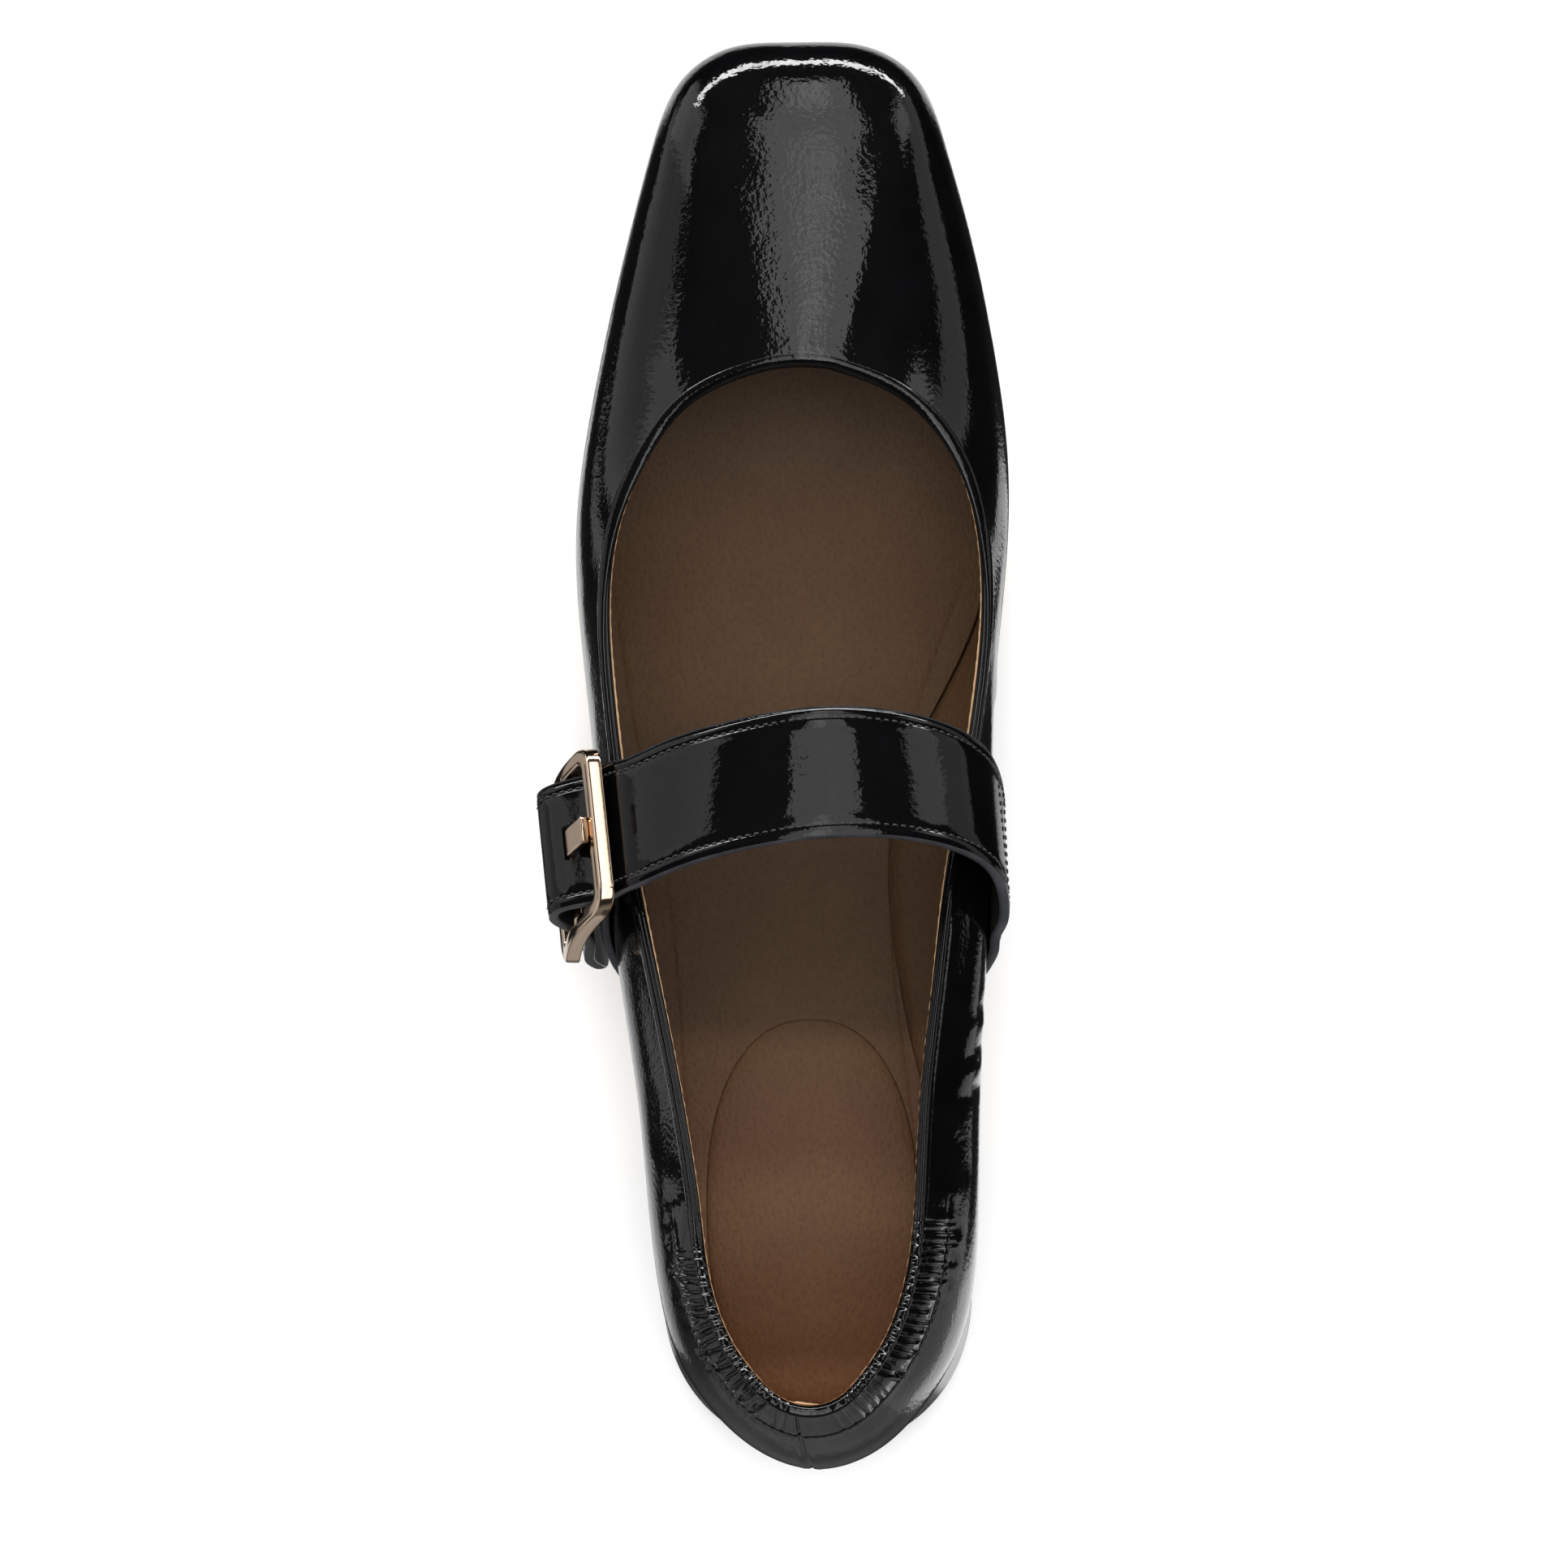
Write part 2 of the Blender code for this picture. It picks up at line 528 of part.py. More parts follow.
def leg_sheet(side, rows, cols, lift):
    """Strip sewn to the wall: rows of points at a stand-off from the upper."""
    sheet = []
    for share, rear, front in rows:
        y = np.linspace(rear, front, cols)
        u = side_u(side, y)
        v = np.full(cols, share)
        sheet.append(wall_point(u, v) + lift * wall_normal(u, v))
    return np.array(sheet)


def buckle_axes():
    a = Vector(BUCKLE_ALONG).normalized()
    b = Vector(BUCKLE_DOWN)
    b = (b - a * a.dot(b)).normalized()
    return np.array(a), np.array(b), np.array(a.cross(b))


def buckle_point(along, down, out):
    a, b, c = buckle_axes()
    return np.array(BUCKLE_AT) + along * a + down * b + out * c


def buckle_bow(down):
    return BUCKLE_BOW * math.sin(math.pi * min(max(down / BUCKLE_DROP, 0.0), 1.0))


COLS = 5


def leg_rows(table, count):
    """The sewn leg's table read at more shares of the wall height."""
    table = np.array(table)
    share = np.linspace(table[0, 0], table[-1, 0], count)
    return [(t, np.interp(t, table[:, 0], table[:, 1]), np.interp(t, table[:, 0], table[:, 2])) for t in share]


def strap_sheet(steps):
    """Middle surface of the strap, from the sole edge over the instep to its free end."""
    a = buckle_axes()[0]
    q = np.linspace(0, 1, COLS)[:, None]
    rows = list(leg_sheet("med", leg_rows(STRAP_LEG, 8), COLS, GAP + 0.15 + 0.5 * STRAP_THICK))
    ends = [(np.array(r[:3]), np.array(r[3:])) for r in STRAP_ROWS]
    for down, out, half in STRAP_IN_BUCKLE:
        ends.append((buckle_point(-half, down, out), buckle_point(half, down, out)))
    for x, y, z, half in STRAP_END_ROWS:
        mid = np.array((x, y, z))
        ends.append((mid - half * a, mid + half * a))
    rows += [rear * (1 - q) + front * q for rear, front in ends]
    line = open_spline(np.array(rows).reshape(len(rows), -1), np.linspace(0, 1, steps))
    return line.reshape(steps, COLS, 3)


def build_strap():
    sheet = strap_sheet(74)
    rings = ribbon_rings(sheet, sheet_normals(sheet), STRAP_THICK, True)
    strap = loft("strap", rings, PATENT)
    sheet = prong_sheet(0.5 * PRONG_WIDE + 0.4, 16, 0.30)
    slot = loft("slot_prong", ribbon_rings(sheet, sheet_normals(sheet), PRONG_THICK + 0.8, True), HEEL,
                collection=CUTTERS)
    slot.hide_render = True
    slot.display_type = "WIRE"
    cut(strap, slot)


def box(name, size, centre, axes, look, bevel, collection=SHOE):
    """Block with its sides along three axes; bevel rounds its edges."""
    work = bmesh.new()
    bmesh.ops.create_cube(work, size=1.0)
    mesh = bpy.data.meshes.new(name)
    work.to_mesh(mesh)
    work.free()
    obj = bpy.data.objects.new(name, mesh)
    turn = Matrix([list(axes[0]), list(axes[1]), list(axes[2])]).transposed().to_4x4()
    centre = Vector(to_metres([centre])[0])
    scale = Matrix.Diagonal((size[0] * MM, size[1] * MM, size[2] * MM, 1.0))
    mesh.transform(Matrix.Translation(centre) @ turn @ scale)
    if turn.to_3x3().determinant() < 0:
        mesh.flip_normals()
    mesh.materials.append(look)
    collection.objects.link(obj)
    if bevel:
        soft = obj.modifiers.new("soft_edges", "BEVEL")
        soft.width = bevel * MM
        soft.segments = 2
        soft.limit_method = "ANGLE"
    if collection is CUTTERS:
        obj.hide_render = True
        obj.display_type = "WIRE"
    return obj


def cut(target, cutter, how="DIFFERENCE"):
    step = target.modifiers.new(cutter.name, "BOOLEAN")
    step.operation = how
    step.solver = "EXACT"
    step.object = cutter


def build_base_and_elastic():
    legs = leg_rows(BASE_LEG, 10)
    base = leg_sheet("lat", legs, COLS, GAP + 0.1)
    far = leg_sheet("lat", legs, COLS, GAP + 0.1 + BASE_THICK)
    rings = ribbon_rings(base, (far - base) / BASE_THICK, BASE_THICK, False)
    loft("strap_base", rings, PATENT)
    end = leg_sheet("lat", ((0.535, 108.6, 128.9), (0.60, 109.6, 129.6)), 2, GAP + 0.5 * ELASTIC_THICK + 0.3)
    rows = [np.concatenate([e[0], e[1]]) for e in end]
    for down, out, half in ((15.2, -1.9, 12.0), (12.6, -0.1, 12.3), (10.4, 0.25, 12.3)):
        rows.append(np.concatenate([buckle_point(-half, down, out), buckle_point(half, down, out)]))
    line = open_spline(np.array(rows), np.linspace(0, 1, 12))
    q = np.linspace(0, 1, COLS)[None, :, None]
    sheet = line[:, None, 0:3] * (1 - q) + line[:, None, 3:6] * q
    rings = ribbon_rings(sheet, sheet_normals(sheet), ELASTIC_THICK, True)
    loft("elastic", rings, KNIT)


def build_buckle():
    a, b, c = buckle_axes()
    path = []
    half, drop, r = BUCKLE_HALF, BUCKLE_DROP, BUCKLE_CORNER
    corners = ((half - r, r, -90), (half - r, drop - r, 0), (-half + r, drop - r, 90), (-half + r, r, 180))
    for x, y, start in corners:
        for k in range(5):
            t = math.radians(start + 22.5 * k)
            path.append((x + r * math.cos(t), y + r * math.sin(t), math.cos(t), math.sin(t)))
    full = []
    for i, p in enumerate(path):
        full.append(p)
        q = path[(i + 1) % len(path)]
        if math.hypot(q[0] - p[0], q[1] - p[1]) > 6:
            for t in np.linspace(0, 1, 8)[1:-1]:
                full.append(tuple(p[j] * (1 - t) + q[j] * t for j in range(4)))
    rings = []
    for along, down, nx, ny in full:
        wide = BAR_WIDE * ny * ny + SIDE_WIDE * nx * nx
        w, h, e = 0.5 * wide, 0.5 * BAR_THICK, 0.45
        ring = []
        for dx, dz in ((w, -h + e), (w, h - e), (w - e, h), (-w + e, h), (-w, h - e), (-w, -h + e),
                       (-w + e, -h), (w - e, -h)):
            at = down + dx * ny
            ring.append(buckle_point(along + dx * nx, at, buckle_bow(at) + dz))
        rings.append(ring)
    frame = loft("buckle_frame", rings, GOLD, close_rows=True)
    work = bmesh.new()
    length = 2 * (BUCKLE_HALF - 0.2)
    bmesh.ops.create_cone(work, cap_ends=True, segments=16, radius1=CENTRE_BAR_RADIUS * MM,
                          radius2=CENTRE_BAR_RADIUS * MM, depth=length * MM)
    mesh = bpy.data.meshes.new("centre_bar")
    work.to_mesh(mesh)
    work.free()
    turn = Vector(a).to_track_quat("Z", "Y").to_matrix().to_4x4()
    at = Vector(to_metres([buckle_point(0, CENTRE_BAR_DOWN, CENTRE_BAR_OUT)])[0])
    mesh.transform(Matrix.Translation(at) @ turn)
    bar = bpy.data.objects.new("centre_bar", mesh)
    CUTTERS.objects.link(bar)
    bar.hide_render = True
    bar.display_type = "WIRE"
    cut(frame, bar, "UNION")


def prong_sheet(half, steps, first):
    """Flat tongue hooked over the centre bar, its tip lying over the upper bar."""
    bow = CENTRE_BAR_OUT
    reach = CENTRE_BAR_RADIUS + 0.3 + 0.5 * PRONG_THICK
    line = [(CENTRE_BAR_DOWN + reach * math.sin(t), bow + reach * math.cos(t))
            for t in np.radians((92, 70, 45, 20, -10))]
    line += [(8.6, bow + 1.75), (6.4, bow + 1.35), (4.2, bow + 0.9), (2.4, bow + 0.5), (0.9, bow + 0.3)]
    line = open_spline(np.array(line), np.linspace(first, 1, steps))
    return np.array([[buckle_point(q * half, down, out) for q in (-1, -0.5, 0, 0.5, 1)] for down, out in line])


def build_prong():
    sheet = prong_sheet(0.5 * PRONG_WIDE, 26, 0.0)
    loft("buckle_prong", ribbon_rings(sheet, sheet_normals(sheet), PRONG_THICK, True), GOLD)


def build_ornament():
    sheet = strap_sheet(160)
    a, b, c = buckle_axes()
    low = int(np.argmin(np.abs(sheet[:, 2, 2] - 23.5) + 100 * (sheet[:, 2, 0] > 0)))
    n = sheet_normals(sheet)[low, 2]
    along = sheet[low + 1, 2] - sheet[low - 1, 2]
    along = along / np.linalg.norm(along)
    across = np.cross(n, along)
    centre = sheet[low, 2] + n * (0.5 * STRAP_THICK + GAP + 0.75)
    box("strap_ornament", (8.0, 3.0, 1.5), centre, (across, along, np.cross(across, along)), GOLD, 0.35)


build_outsole()
build_insole()
build_upper()
build_heel()
build_heel_pad()
build_strap()
build_base_and_elastic()
build_buckle()
build_prong()
build_ornament()
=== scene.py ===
"""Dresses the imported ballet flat: fine upper, bindings, gathers, stitches, metal, looks, light, camera."""
import json
import math

import bpy
import numpy as np
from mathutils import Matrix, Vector

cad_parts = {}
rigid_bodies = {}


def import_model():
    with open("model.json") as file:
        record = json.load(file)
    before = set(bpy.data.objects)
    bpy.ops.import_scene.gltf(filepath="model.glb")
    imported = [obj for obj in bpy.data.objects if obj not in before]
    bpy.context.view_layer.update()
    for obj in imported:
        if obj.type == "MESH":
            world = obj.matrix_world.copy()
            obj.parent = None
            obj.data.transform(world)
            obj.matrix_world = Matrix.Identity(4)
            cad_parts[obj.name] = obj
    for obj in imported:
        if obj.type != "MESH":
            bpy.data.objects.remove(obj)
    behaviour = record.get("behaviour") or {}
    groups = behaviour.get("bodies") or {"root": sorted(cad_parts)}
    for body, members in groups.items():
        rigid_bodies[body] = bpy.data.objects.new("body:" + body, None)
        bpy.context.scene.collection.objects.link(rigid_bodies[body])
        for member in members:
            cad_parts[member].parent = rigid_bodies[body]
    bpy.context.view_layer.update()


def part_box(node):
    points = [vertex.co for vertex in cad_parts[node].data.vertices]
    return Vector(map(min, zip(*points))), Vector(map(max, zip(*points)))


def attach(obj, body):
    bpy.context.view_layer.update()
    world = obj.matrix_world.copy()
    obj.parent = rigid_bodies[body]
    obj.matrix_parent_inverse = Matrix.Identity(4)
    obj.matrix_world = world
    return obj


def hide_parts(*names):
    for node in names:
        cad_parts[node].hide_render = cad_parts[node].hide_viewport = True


for old in list(bpy.data.objects):
    bpy.data.objects.remove(old, do_unlink=True)
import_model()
LIFT_LOW, LIFT_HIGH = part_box("top_lift")

# ---------------------------------------------------------------- driving sizes, millimetres
MM = 0.001
GAP = 0.3
WALL = 1.8
LEATHER = 1.0  # outer leather of the wall; the lining takes the rest
BREAST_Y = 62.0
SEAT_BACK_Z = 30.5
SEAT_PITCH = 0.07
TREAD_START_Y = 168.0
TREAD_END_Y = 205.0
TREAD_THICK = 3.0
WAIST_THICK = 2.5
TOE_SPRING = 8.0
TOE_Y = 270.9
LIFT_THICK = 5.0
LIFT_HALF_WIDTH = 29.6
LIFT_BACK_Y = 2.1
LIFT_ROUND_LONG = 31.0  # length of its rounded back
LIFT_BORDER = 1.5
LIFT_RIB_PITCH = 0.83
INSOLE_THICK = 2.0
PAD_THICK = 0.9
STRAP_THICK = 2.0
STRAP_WIDE = 24.6
BASE_THICK = 1.8
ELASTIC_THICK = 1.4
COLLAR_BAND = 9.2  # topline to the seam of the gathered band
COLLAR_STEP = 0.5
BACK_SEAM_AT = -2.4  # along the topline; the seam leans as it goes down
BACK_SEAM_LEAN = 0.054
QUARTER_SEAM_Y = 146.0
STITCH_INSET = 2.0  # strap's and base's edge to their stitches
STITCH_PITCH = 1.62
STITCH_LONG = 1.2
ELASTIC_RIBS = 21
SLOT_X = -32.5  # place of the upper punched slot across the shoe
SLOT_APART = 25.0  # from there to the lower one, along the strap
SLOT_LONG = 6.2
SLOT_WIDE = 1.25
CUT_RIM_ANGLE = 40
STITCHED_ROWS = slice(4, 288)  # rows of the strap's sheet between its two ends
HEEL_CORNER = 1.6  # radius of the two corners at the heel's breast
SHIFT_X = 0.5 * (LIFT_LOW.x + LIFT_HIGH.x) / MM
SHIFT_Y = LIFT_LOW.y / MM - LIFT_BACK_Y

SECTION_COLUMNS = ("c_y", "c_lat", "c_med", "t_y", "t_lat", "t_med", "f_y", "f_lat", "f_med",
                   "z_c_lat", "z_c_med", "z_t", "rise", "reach", "slope_lat", "slope_med")
SECTIONS = (
    (2.1, -0.5, -0.5, 14.8, -2.0, -2.0, 4.2, -0.5, -0.5, 49.0, 49.0, 83.0, 15.0, 12.0, 62, 62),
    (5.9, -11.9, 11.3, 16.8, -8.4, 4.6, 7.6, -11.2, 10.6, 49.0, 49.0, 82.8, 15.0, 12.0, 62, 62),
    (13.7, -20.4, 19.4, 22.0, -13.8, 9.6, 15.0, -19.2, 18.2, 48.5, 48.5, 81.5, 15.0, 12.0, 63, 60),
    (23.8, -26.6, 25.7, 28.8, -18.2, 13.9, 24.4, -25.2, 24.2, 47.0, 47.5, 78.8, 14.5, 11.0, 64, 58),
    (36.8, -29.9, 29.2, 38.9, -21.5, 17.4, 36.8, -28.3, 27.5, 44.5, 45.5, 74.8, 13.5, 10.5, 65, 58),
    (52.0, -31.6, 30.4, 52.5, -23.3, 19.4, 52.0, -29.4, 27.4, 41.5, 43.5, 69.8, 12.5, 10.0, 66, 58),
    (70.0, -33.2, 31.0, 70.6, -26.0, 20.7, 70.0, -29.4, 21.8, 37.5, 40.5, 63.3, 11.5, 9.0, 68, 58),
    (90.0, -36.0, 32.2, 90.5, -29.7, 23.3, 90.0, -30.4, 17.2, 32.5, 38.0, 56.8, 10.5, 8.0, 70, 60),
    (110.0, -38.6, 33.3, 110.4, -33.6, 26.1, 110.0, -33.0, 14.9, 27.0, 35.5, 50.8, 10.0, 7.0, 73, 64),
    (130.0, -40.6, 34.3, 129.8, -36.5, 29.9, 130.0, -37.0, 18.2, 21.0, 30.0, 45.4, 10.0, 6.5, 76, 72),
    (150.0, -42.5, 35.5, 149.5, -38.5, 33.2, 150.0, -41.1, 28.9, 15.0, 20.5, 41.4, 12.0, 6.5, 77, 80),
    (166.5, -43.9, 37.5, 165.0, -38.9, 34.4, 166.5, -42.9, 35.9, 11.0, 12.5, 39.3, 14.0, 7.0, 73, 76),
    (181.5, -43.8, 38.7, 178.4, -36.9, 33.3, 181.5, -42.8, 37.8, 9.6, 9.8, 38.6, 15.0, 8.0, 64, 67),
    (197.0, -41.7, 38.3, 189.8, -32.0, 29.5, 197.0, -40.6, 37.4, 9.5, 9.5, 39.0, 16.5, 9.5, 49, 51),
    (213.0, -38.4, 36.2, 199.1, -25.4, 22.7, 213.0, -37.2, 35.1, 10.2, 10.2, 40.2, 18.0, 14.0, 34, 35),
    (232.0, -33.8, 32.6, 204.7, -17.2, 14.2, 232.0, -32.6, 31.4, 11.7, 11.7, 41.3, 18.8, 22.0, 22, 22),
    (250.8, -28.6, 27.7, 207.0, -10.6, 7.8, 250.3, -27.2, 26.4, 13.6, 13.6, 42.0, 18.6, 33.0, 15, 15),
    (264.8, -22.0, 21.4, 208.0, -6.3, 4.3, 263.6, -20.8, 20.2, 15.1, 15.1, 42.3, 17.6, 42.0, 12.5, 12.5),
    (269.9, -13.8, 12.8, 208.3, -3.5, 1.6, 268.6, -12.8, 11.9, 15.9, 15.9, 42.4, 17.0, 45.0, 12, 12),
    (270.9, -0.5, -0.5, 208.4, -1.0, -1.0, 269.6, -0.5, -0.5, 16.2, 16.2, 42.5, 17.0, 46.0, 12, 12),
)

# Free part of the strap, inner side to outer side: middle of its thickness at the rear and front edges.
# Columns: x, y and z of the rear edge, then of the front edge.
STRAP_ROWS = (
    (35.4, 102.8, 42.4, 35.4, 127.8, 37.2),
    (35.7, 107.7, 49.0, 33.8, 133.0, 43.2),
    (33.4, 113.2, 56.3, 30.6, 137.0, 49.4),
    (27.2, 117.1, 62.0, 24.8, 140.2, 54.2),
    (16.0, 119.7, 66.2, 14.8, 142.8, 58.2),
    (0.0, 119.9, 68.2, 0.0, 143.5, 60.2),
    (-15.0, 117.5, 66.7, -15.4, 141.0, 58.2),
    (-26.0, 114.2, 63.2, -27.2, 137.5, 53.8),
    (-32.6, 111.4, 60.0, -34.4, 134.5, 50.0),
)
# Strap through the buckle: place along the frame (down), stand-off from the frame's chord, half width.
STRAP_IN_BUCKLE = (
    (0.0, -3.5, 13.0),
    (4.4, -1.1, 12.8),
    (7.8, 3.4, 12.6),
    (11.2, 6.4, 12.4),
    (15.0, 5.7, 12.3),
    (19.4, 0.9, 12.3),
    (24.5, -3.5, 12.2),
)
# Free end of the strap below the buckle: middle point and half width.
STRAP_END_ROWS = (
    (-43.3, 107.6, 23.5, 11.2),
    (-41.7, 103.6, 17.6, 8.6),
    (-40.5, 99.7, 13.7, 4.6),
    (-40.0, 97.6, 12.0, 1.4),
)
# Sewn legs: share of the wall height, then rear and front edge along the shoe.
STRAP_LEG = ((0.015, 83.5, 107.0), (0.10, 87.3, 110.6), (0.19, 92.2, 116.2), (0.28, 98.1, 122.6),
             (0.34, 100.3, 124.6))
BASE_LEG = ((0.015, 88.5, 113.0), (0.10, 92.0, 116.5), (0.19, 96.0, 120.5), (0.28, 100.5, 124.5),
            (0.40, 104.5, 127.5), (0.50, 107.0, 129.5))

BUCKLE_AT = (-39.6, 122.3, 52.5)  # middle of the upper bar
BUCKLE_ALONG = (-0.09, 0.905, -0.42)  # along the bars, towards the toe
BUCKLE_DOWN = (-0.28, -0.42, -0.863)
BUCKLE_HALF = 15.5  # half the bar length, to the middle of the side bars
BUCKLE_DROP = 25.5  # upper bar to lower bar
BUCKLE_BOW = 1.6  # how far the middle of the frame stands out
BUCKLE_CORNER = 3.2
BAR_WIDE = 3.8
SIDE_WIDE = 3.2
BAR_THICK = 2.8
NEAR_BAR_SLANT = 0.23  # the upper bar's outer side leans in by this much per millimetre
CENTRE_BAR_DOWN = 11.0
CENTRE_BAR_OUT = 2.2
CENTRE_BAR_RADIUS = 1.0
PRONG_WIDE = 5.8
PRONG_THICK = 1.4
BAR_HALF_LONG = 4.0  # plain bar on the strap's free end
BAR_HALF_WIDE = 1.5
BAR_HALF_THICK = 0.75
BAR_HIGH = 23.5  # height of its middle over the floor

# ---------------------------------------------------------------- curves and sections


def periodic_spline(knots, values, at):
    """Smooth closed curve through the rows of values, read at parameters 0..1."""
    n = len(knots)
    h = np.diff(np.append(knots, 1.0 + knots[0]))
    step = (np.roll(values, -1, 0) - values) / h[:, None]
    a = np.zeros((n, n))
    rhs = np.zeros_like(values)
    for i in range(n):
        before = (i - 1) % n
        a[i, before] += h[before]
        a[i, i] += 2 * (h[before] + h[i])
        a[i, (i + 1) % n] += h[i]
        rhs[i] = 6 * (step[i] - step[before])
    m = np.linalg.solve(a, rhs)
    at = np.mod(at, 1.0)
    i = np.clip(np.searchsorted(knots, at, side="right") - 1, 0, n - 1)
    t = (at - knots[i])[..., None]
    hi = h[i][..., None]
    m0 = m[i]
    m1 = m[(i + 1) % n]
    y0 = values[i]
    y1 = values[(i + 1) % n]
    slope = (y1 - y0) / hi - hi * (2 * m0 + m1) / 6
    return y0 + slope * t + m0 * t * t / 2 + (m1 - m0) * t ** 3 / (6 * hi)


def open_spline(values, at):
    """Smooth open curve through rows of points, read at parameters 0..1 spaced by length."""
    values = np.asarray(values, float)
    gaps = np.linalg.norm(np.diff(values, axis=0), axis=1) ** 0.7
    knots = np.append(0.0, np.cumsum(gaps))
    knots /= knots[-1]
    n = len(knots)
    h = np.diff(knots)
    a = np.eye(n)
    rhs = np.zeros_like(values)
    for i in range(1, n - 1):
        a[i, i - 1:i + 2] = (h[i - 1], 2 * (h[i - 1] + h[i]), h[i])
        rhs[i] = 6 * ((values[i + 1] - values[i]) / h[i] - (values[i] - values[i - 1]) / h[i - 1])
    m = np.linalg.solve(a, rhs)
    i = np.clip(np.searchsorted(knots, at, side="right") - 1, 0, n - 2)
    t = (at - knots[i])[:, None]
    hi = h[i][:, None]
    slope = (values[i + 1] - values[i]) / hi - hi * (2 * m[i] + m[i + 1]) / 6
    return values[i] + slope * t + m[i] * t * t / 2 + (m[i + 1] - m[i]) * t ** 3 / (6 * hi)


def sole_top(y):
    """Height of the feather plane: heel seat, shank curve, tread, toe spring."""
    y = np.asarray(y, float)
    seat = SEAT_BACK_Z - SEAT_PITCH * y
    end = SEAT_BACK_Z - SEAT_PITCH * BREAST_Y
    run = TREAD_START_Y - BREAST_Y
    s = np.clip((y - BREAST_Y) / run, 0, 1)
    shank = (end * (1 - 3 * s ** 2 + 2 * s ** 3) - SEAT_PITCH * run * (s - 2 * s ** 2 + s ** 3)
             + TREAD_THICK * (3 * s ** 2 - 2 * s ** 3))
    toe = np.clip((y - TREAD_END_Y) / (TOE_Y - TREAD_END_Y), 0, 2)
    return np.where(y < BREAST_Y, seat, shank + TOE_SPRING * toe ** 2)


def sole_thick(y):
    s = np.clip((np.asarray(y, float) - 120.0) / 45.0, 0, 1)
    return WAIST_THICK + (TREAD_THICK - WAIST_THICK) * (3 * s ** 2 - 2 * s ** 3)


def section_rows():
    """The table as one closed ring of stations: heel, inner side, toe, outer side."""
    col = {name: i for i, name in enumerate(SECTION_COLUMNS)}
    ring = []
    for side, rows in (("med", SECTIONS), ("lat", SECTIONS[-2:0:-1])):
        for r in rows:
            f_y = r[col["f_y"]]
            ring.append((
                r[col["c_" + side]], r[col["c_y"]], r[col["z_c_" + side]],
                r[col["t_" + side]], r[col["t_y"]], r[col["z_t"]],
                r[col["f_" + side]], f_y, float(sole_top(f_y)) + GAP,
                r[col["rise"]], r[col["reach"]], r[col["slope_" + side]],
            ))
    return np.array(ring)


RING = section_rows()
STEPS = np.linalg.norm(np.diff(np.vstack([RING[:, :2], RING[:1, :2]]), axis=0), axis=1)
KNOTS = np.append(0.0, np.cumsum(STEPS)[:-1]) / STEPS.sum()
BULGE = 0.30  # share of the wall's rows that lie below its widest line
RIM_WIDE = 2.0  # rolled edge of the throat
RIM_DROP = 0.85


def run_along(line):
    """Length from the first point of a line to each of its points."""
    return np.append(0.0, np.cumsum(np.linalg.norm(np.diff(line, axis=0), axis=1)))


def read_along(line, run, at):
    """Points of a line at given lengths along it."""
    return np.stack([np.interp(at, run, c) for c in line.T], axis=1)


def places(*parts, closed=False):
    """Places in a row of stretches, each with start, end and count. closed leaves out the last end."""
    last = -1 if closed else len(parts) - 1
    return np.concatenate([np.linspace(*part, endpoint=i == last) for i, part in enumerate(parts)])


def superellipse(ang, power):
    """Unit oval with full shoulders: x and y at some angles."""
    c, s = np.cos(ang), np.sin(ang)
    return np.sign(c) * np.abs(c) ** (2 / power), np.sign(s) * np.abs(s) ** (2 / power)


def bezier(p0, p1, p2, p3, t):
    return (1 - t) ** 3 * p0 + 3 * (1 - t) ** 2 * t * p1 + 3 * (1 - t) * t * t * p2 + t ** 3 * p3


def wall_point(u, v):
    """Outer surface of the upper: u runs round the shoe, v from the feather edge to the topline."""
    u, v = np.broadcast_arrays(np.asarray(u, float), np.asarray(v, float))
    s = periodic_spline(KNOTS, RING, u)
    c, top, f = s[..., 0:3], s[..., 3:6], s[..., 6:9]
    rise, reach, slope = s[..., 9:10], s[..., 10:11], np.radians(s[..., 11:12])
    up = np.array((0.0, 0.0, 1.0))
    out = (c - f) * np.array((1.0, 1.0, 0.0))
    under = bezier(f, f + 0.5 * out + 0.22 * (c - f) * up, c - 0.5 * (c - f) * up, c,
                   np.clip(v / BULGE, 0, 1)[..., None])
    across = (top - c) * np.array((1.0, 1.0, 0.0))
    across = across / np.linalg.norm(across, axis=-1, keepdims=True)
    lead = np.cos(slope) * across + np.sin(slope) * up
    over = bezier(c, c + rise * up, top - reach * lead, top,
                  np.clip((v - BULGE) / (1 - BULGE), 0, 1)[..., None])
    return np.where((v < BULGE)[..., None], under, over)


def wall_normal(u, v):
    e = 1e-4
    lo = np.clip(v - e, 0, 1)
    hi = np.clip(v + e, 0, 1)
    du = wall_point(u + e, v) - wall_point(u - e, v)
    dv = wall_point(u, hi) - wall_point(u, lo)
    n = np.cross(du, dv)
    return n / np.linalg.norm(n, axis=-1, keepdims=True)


def side_u(side, y):
    """Round-the-shoe parameter of the widest line at a given place along one side."""
    u = np.linspace(0.0, 1.0, 4001)
    s = periodic_spline(KNOTS, RING, u)
    toe = int(np.argmax(s[:, 1]))
    part = slice(0, toe + 1) if side == "med" else slice(toe, 4001)
    ys, us = s[part, 1], u[part]
    if side == "lat":
        ys, us = ys[::-1], us[::-1]
    return np.interp(y, ys, us)


def feather(inset):
    """Closed plan outline of the feather edge, moved inward by inset: heel, inner side, toe, outer side."""
    u = np.linspace(0, 1, 1201)[:-1]
    p = periodic_spline(KNOTS, RING, u)[:, 6:8]
    t = np.roll(p, -1, 0) - np.roll(p, 1, 0)
    t /= np.linalg.norm(t, axis=1)[:, None]
    return p + inset * np.stack([-t[:, 1], t[:, 0]], axis=1)


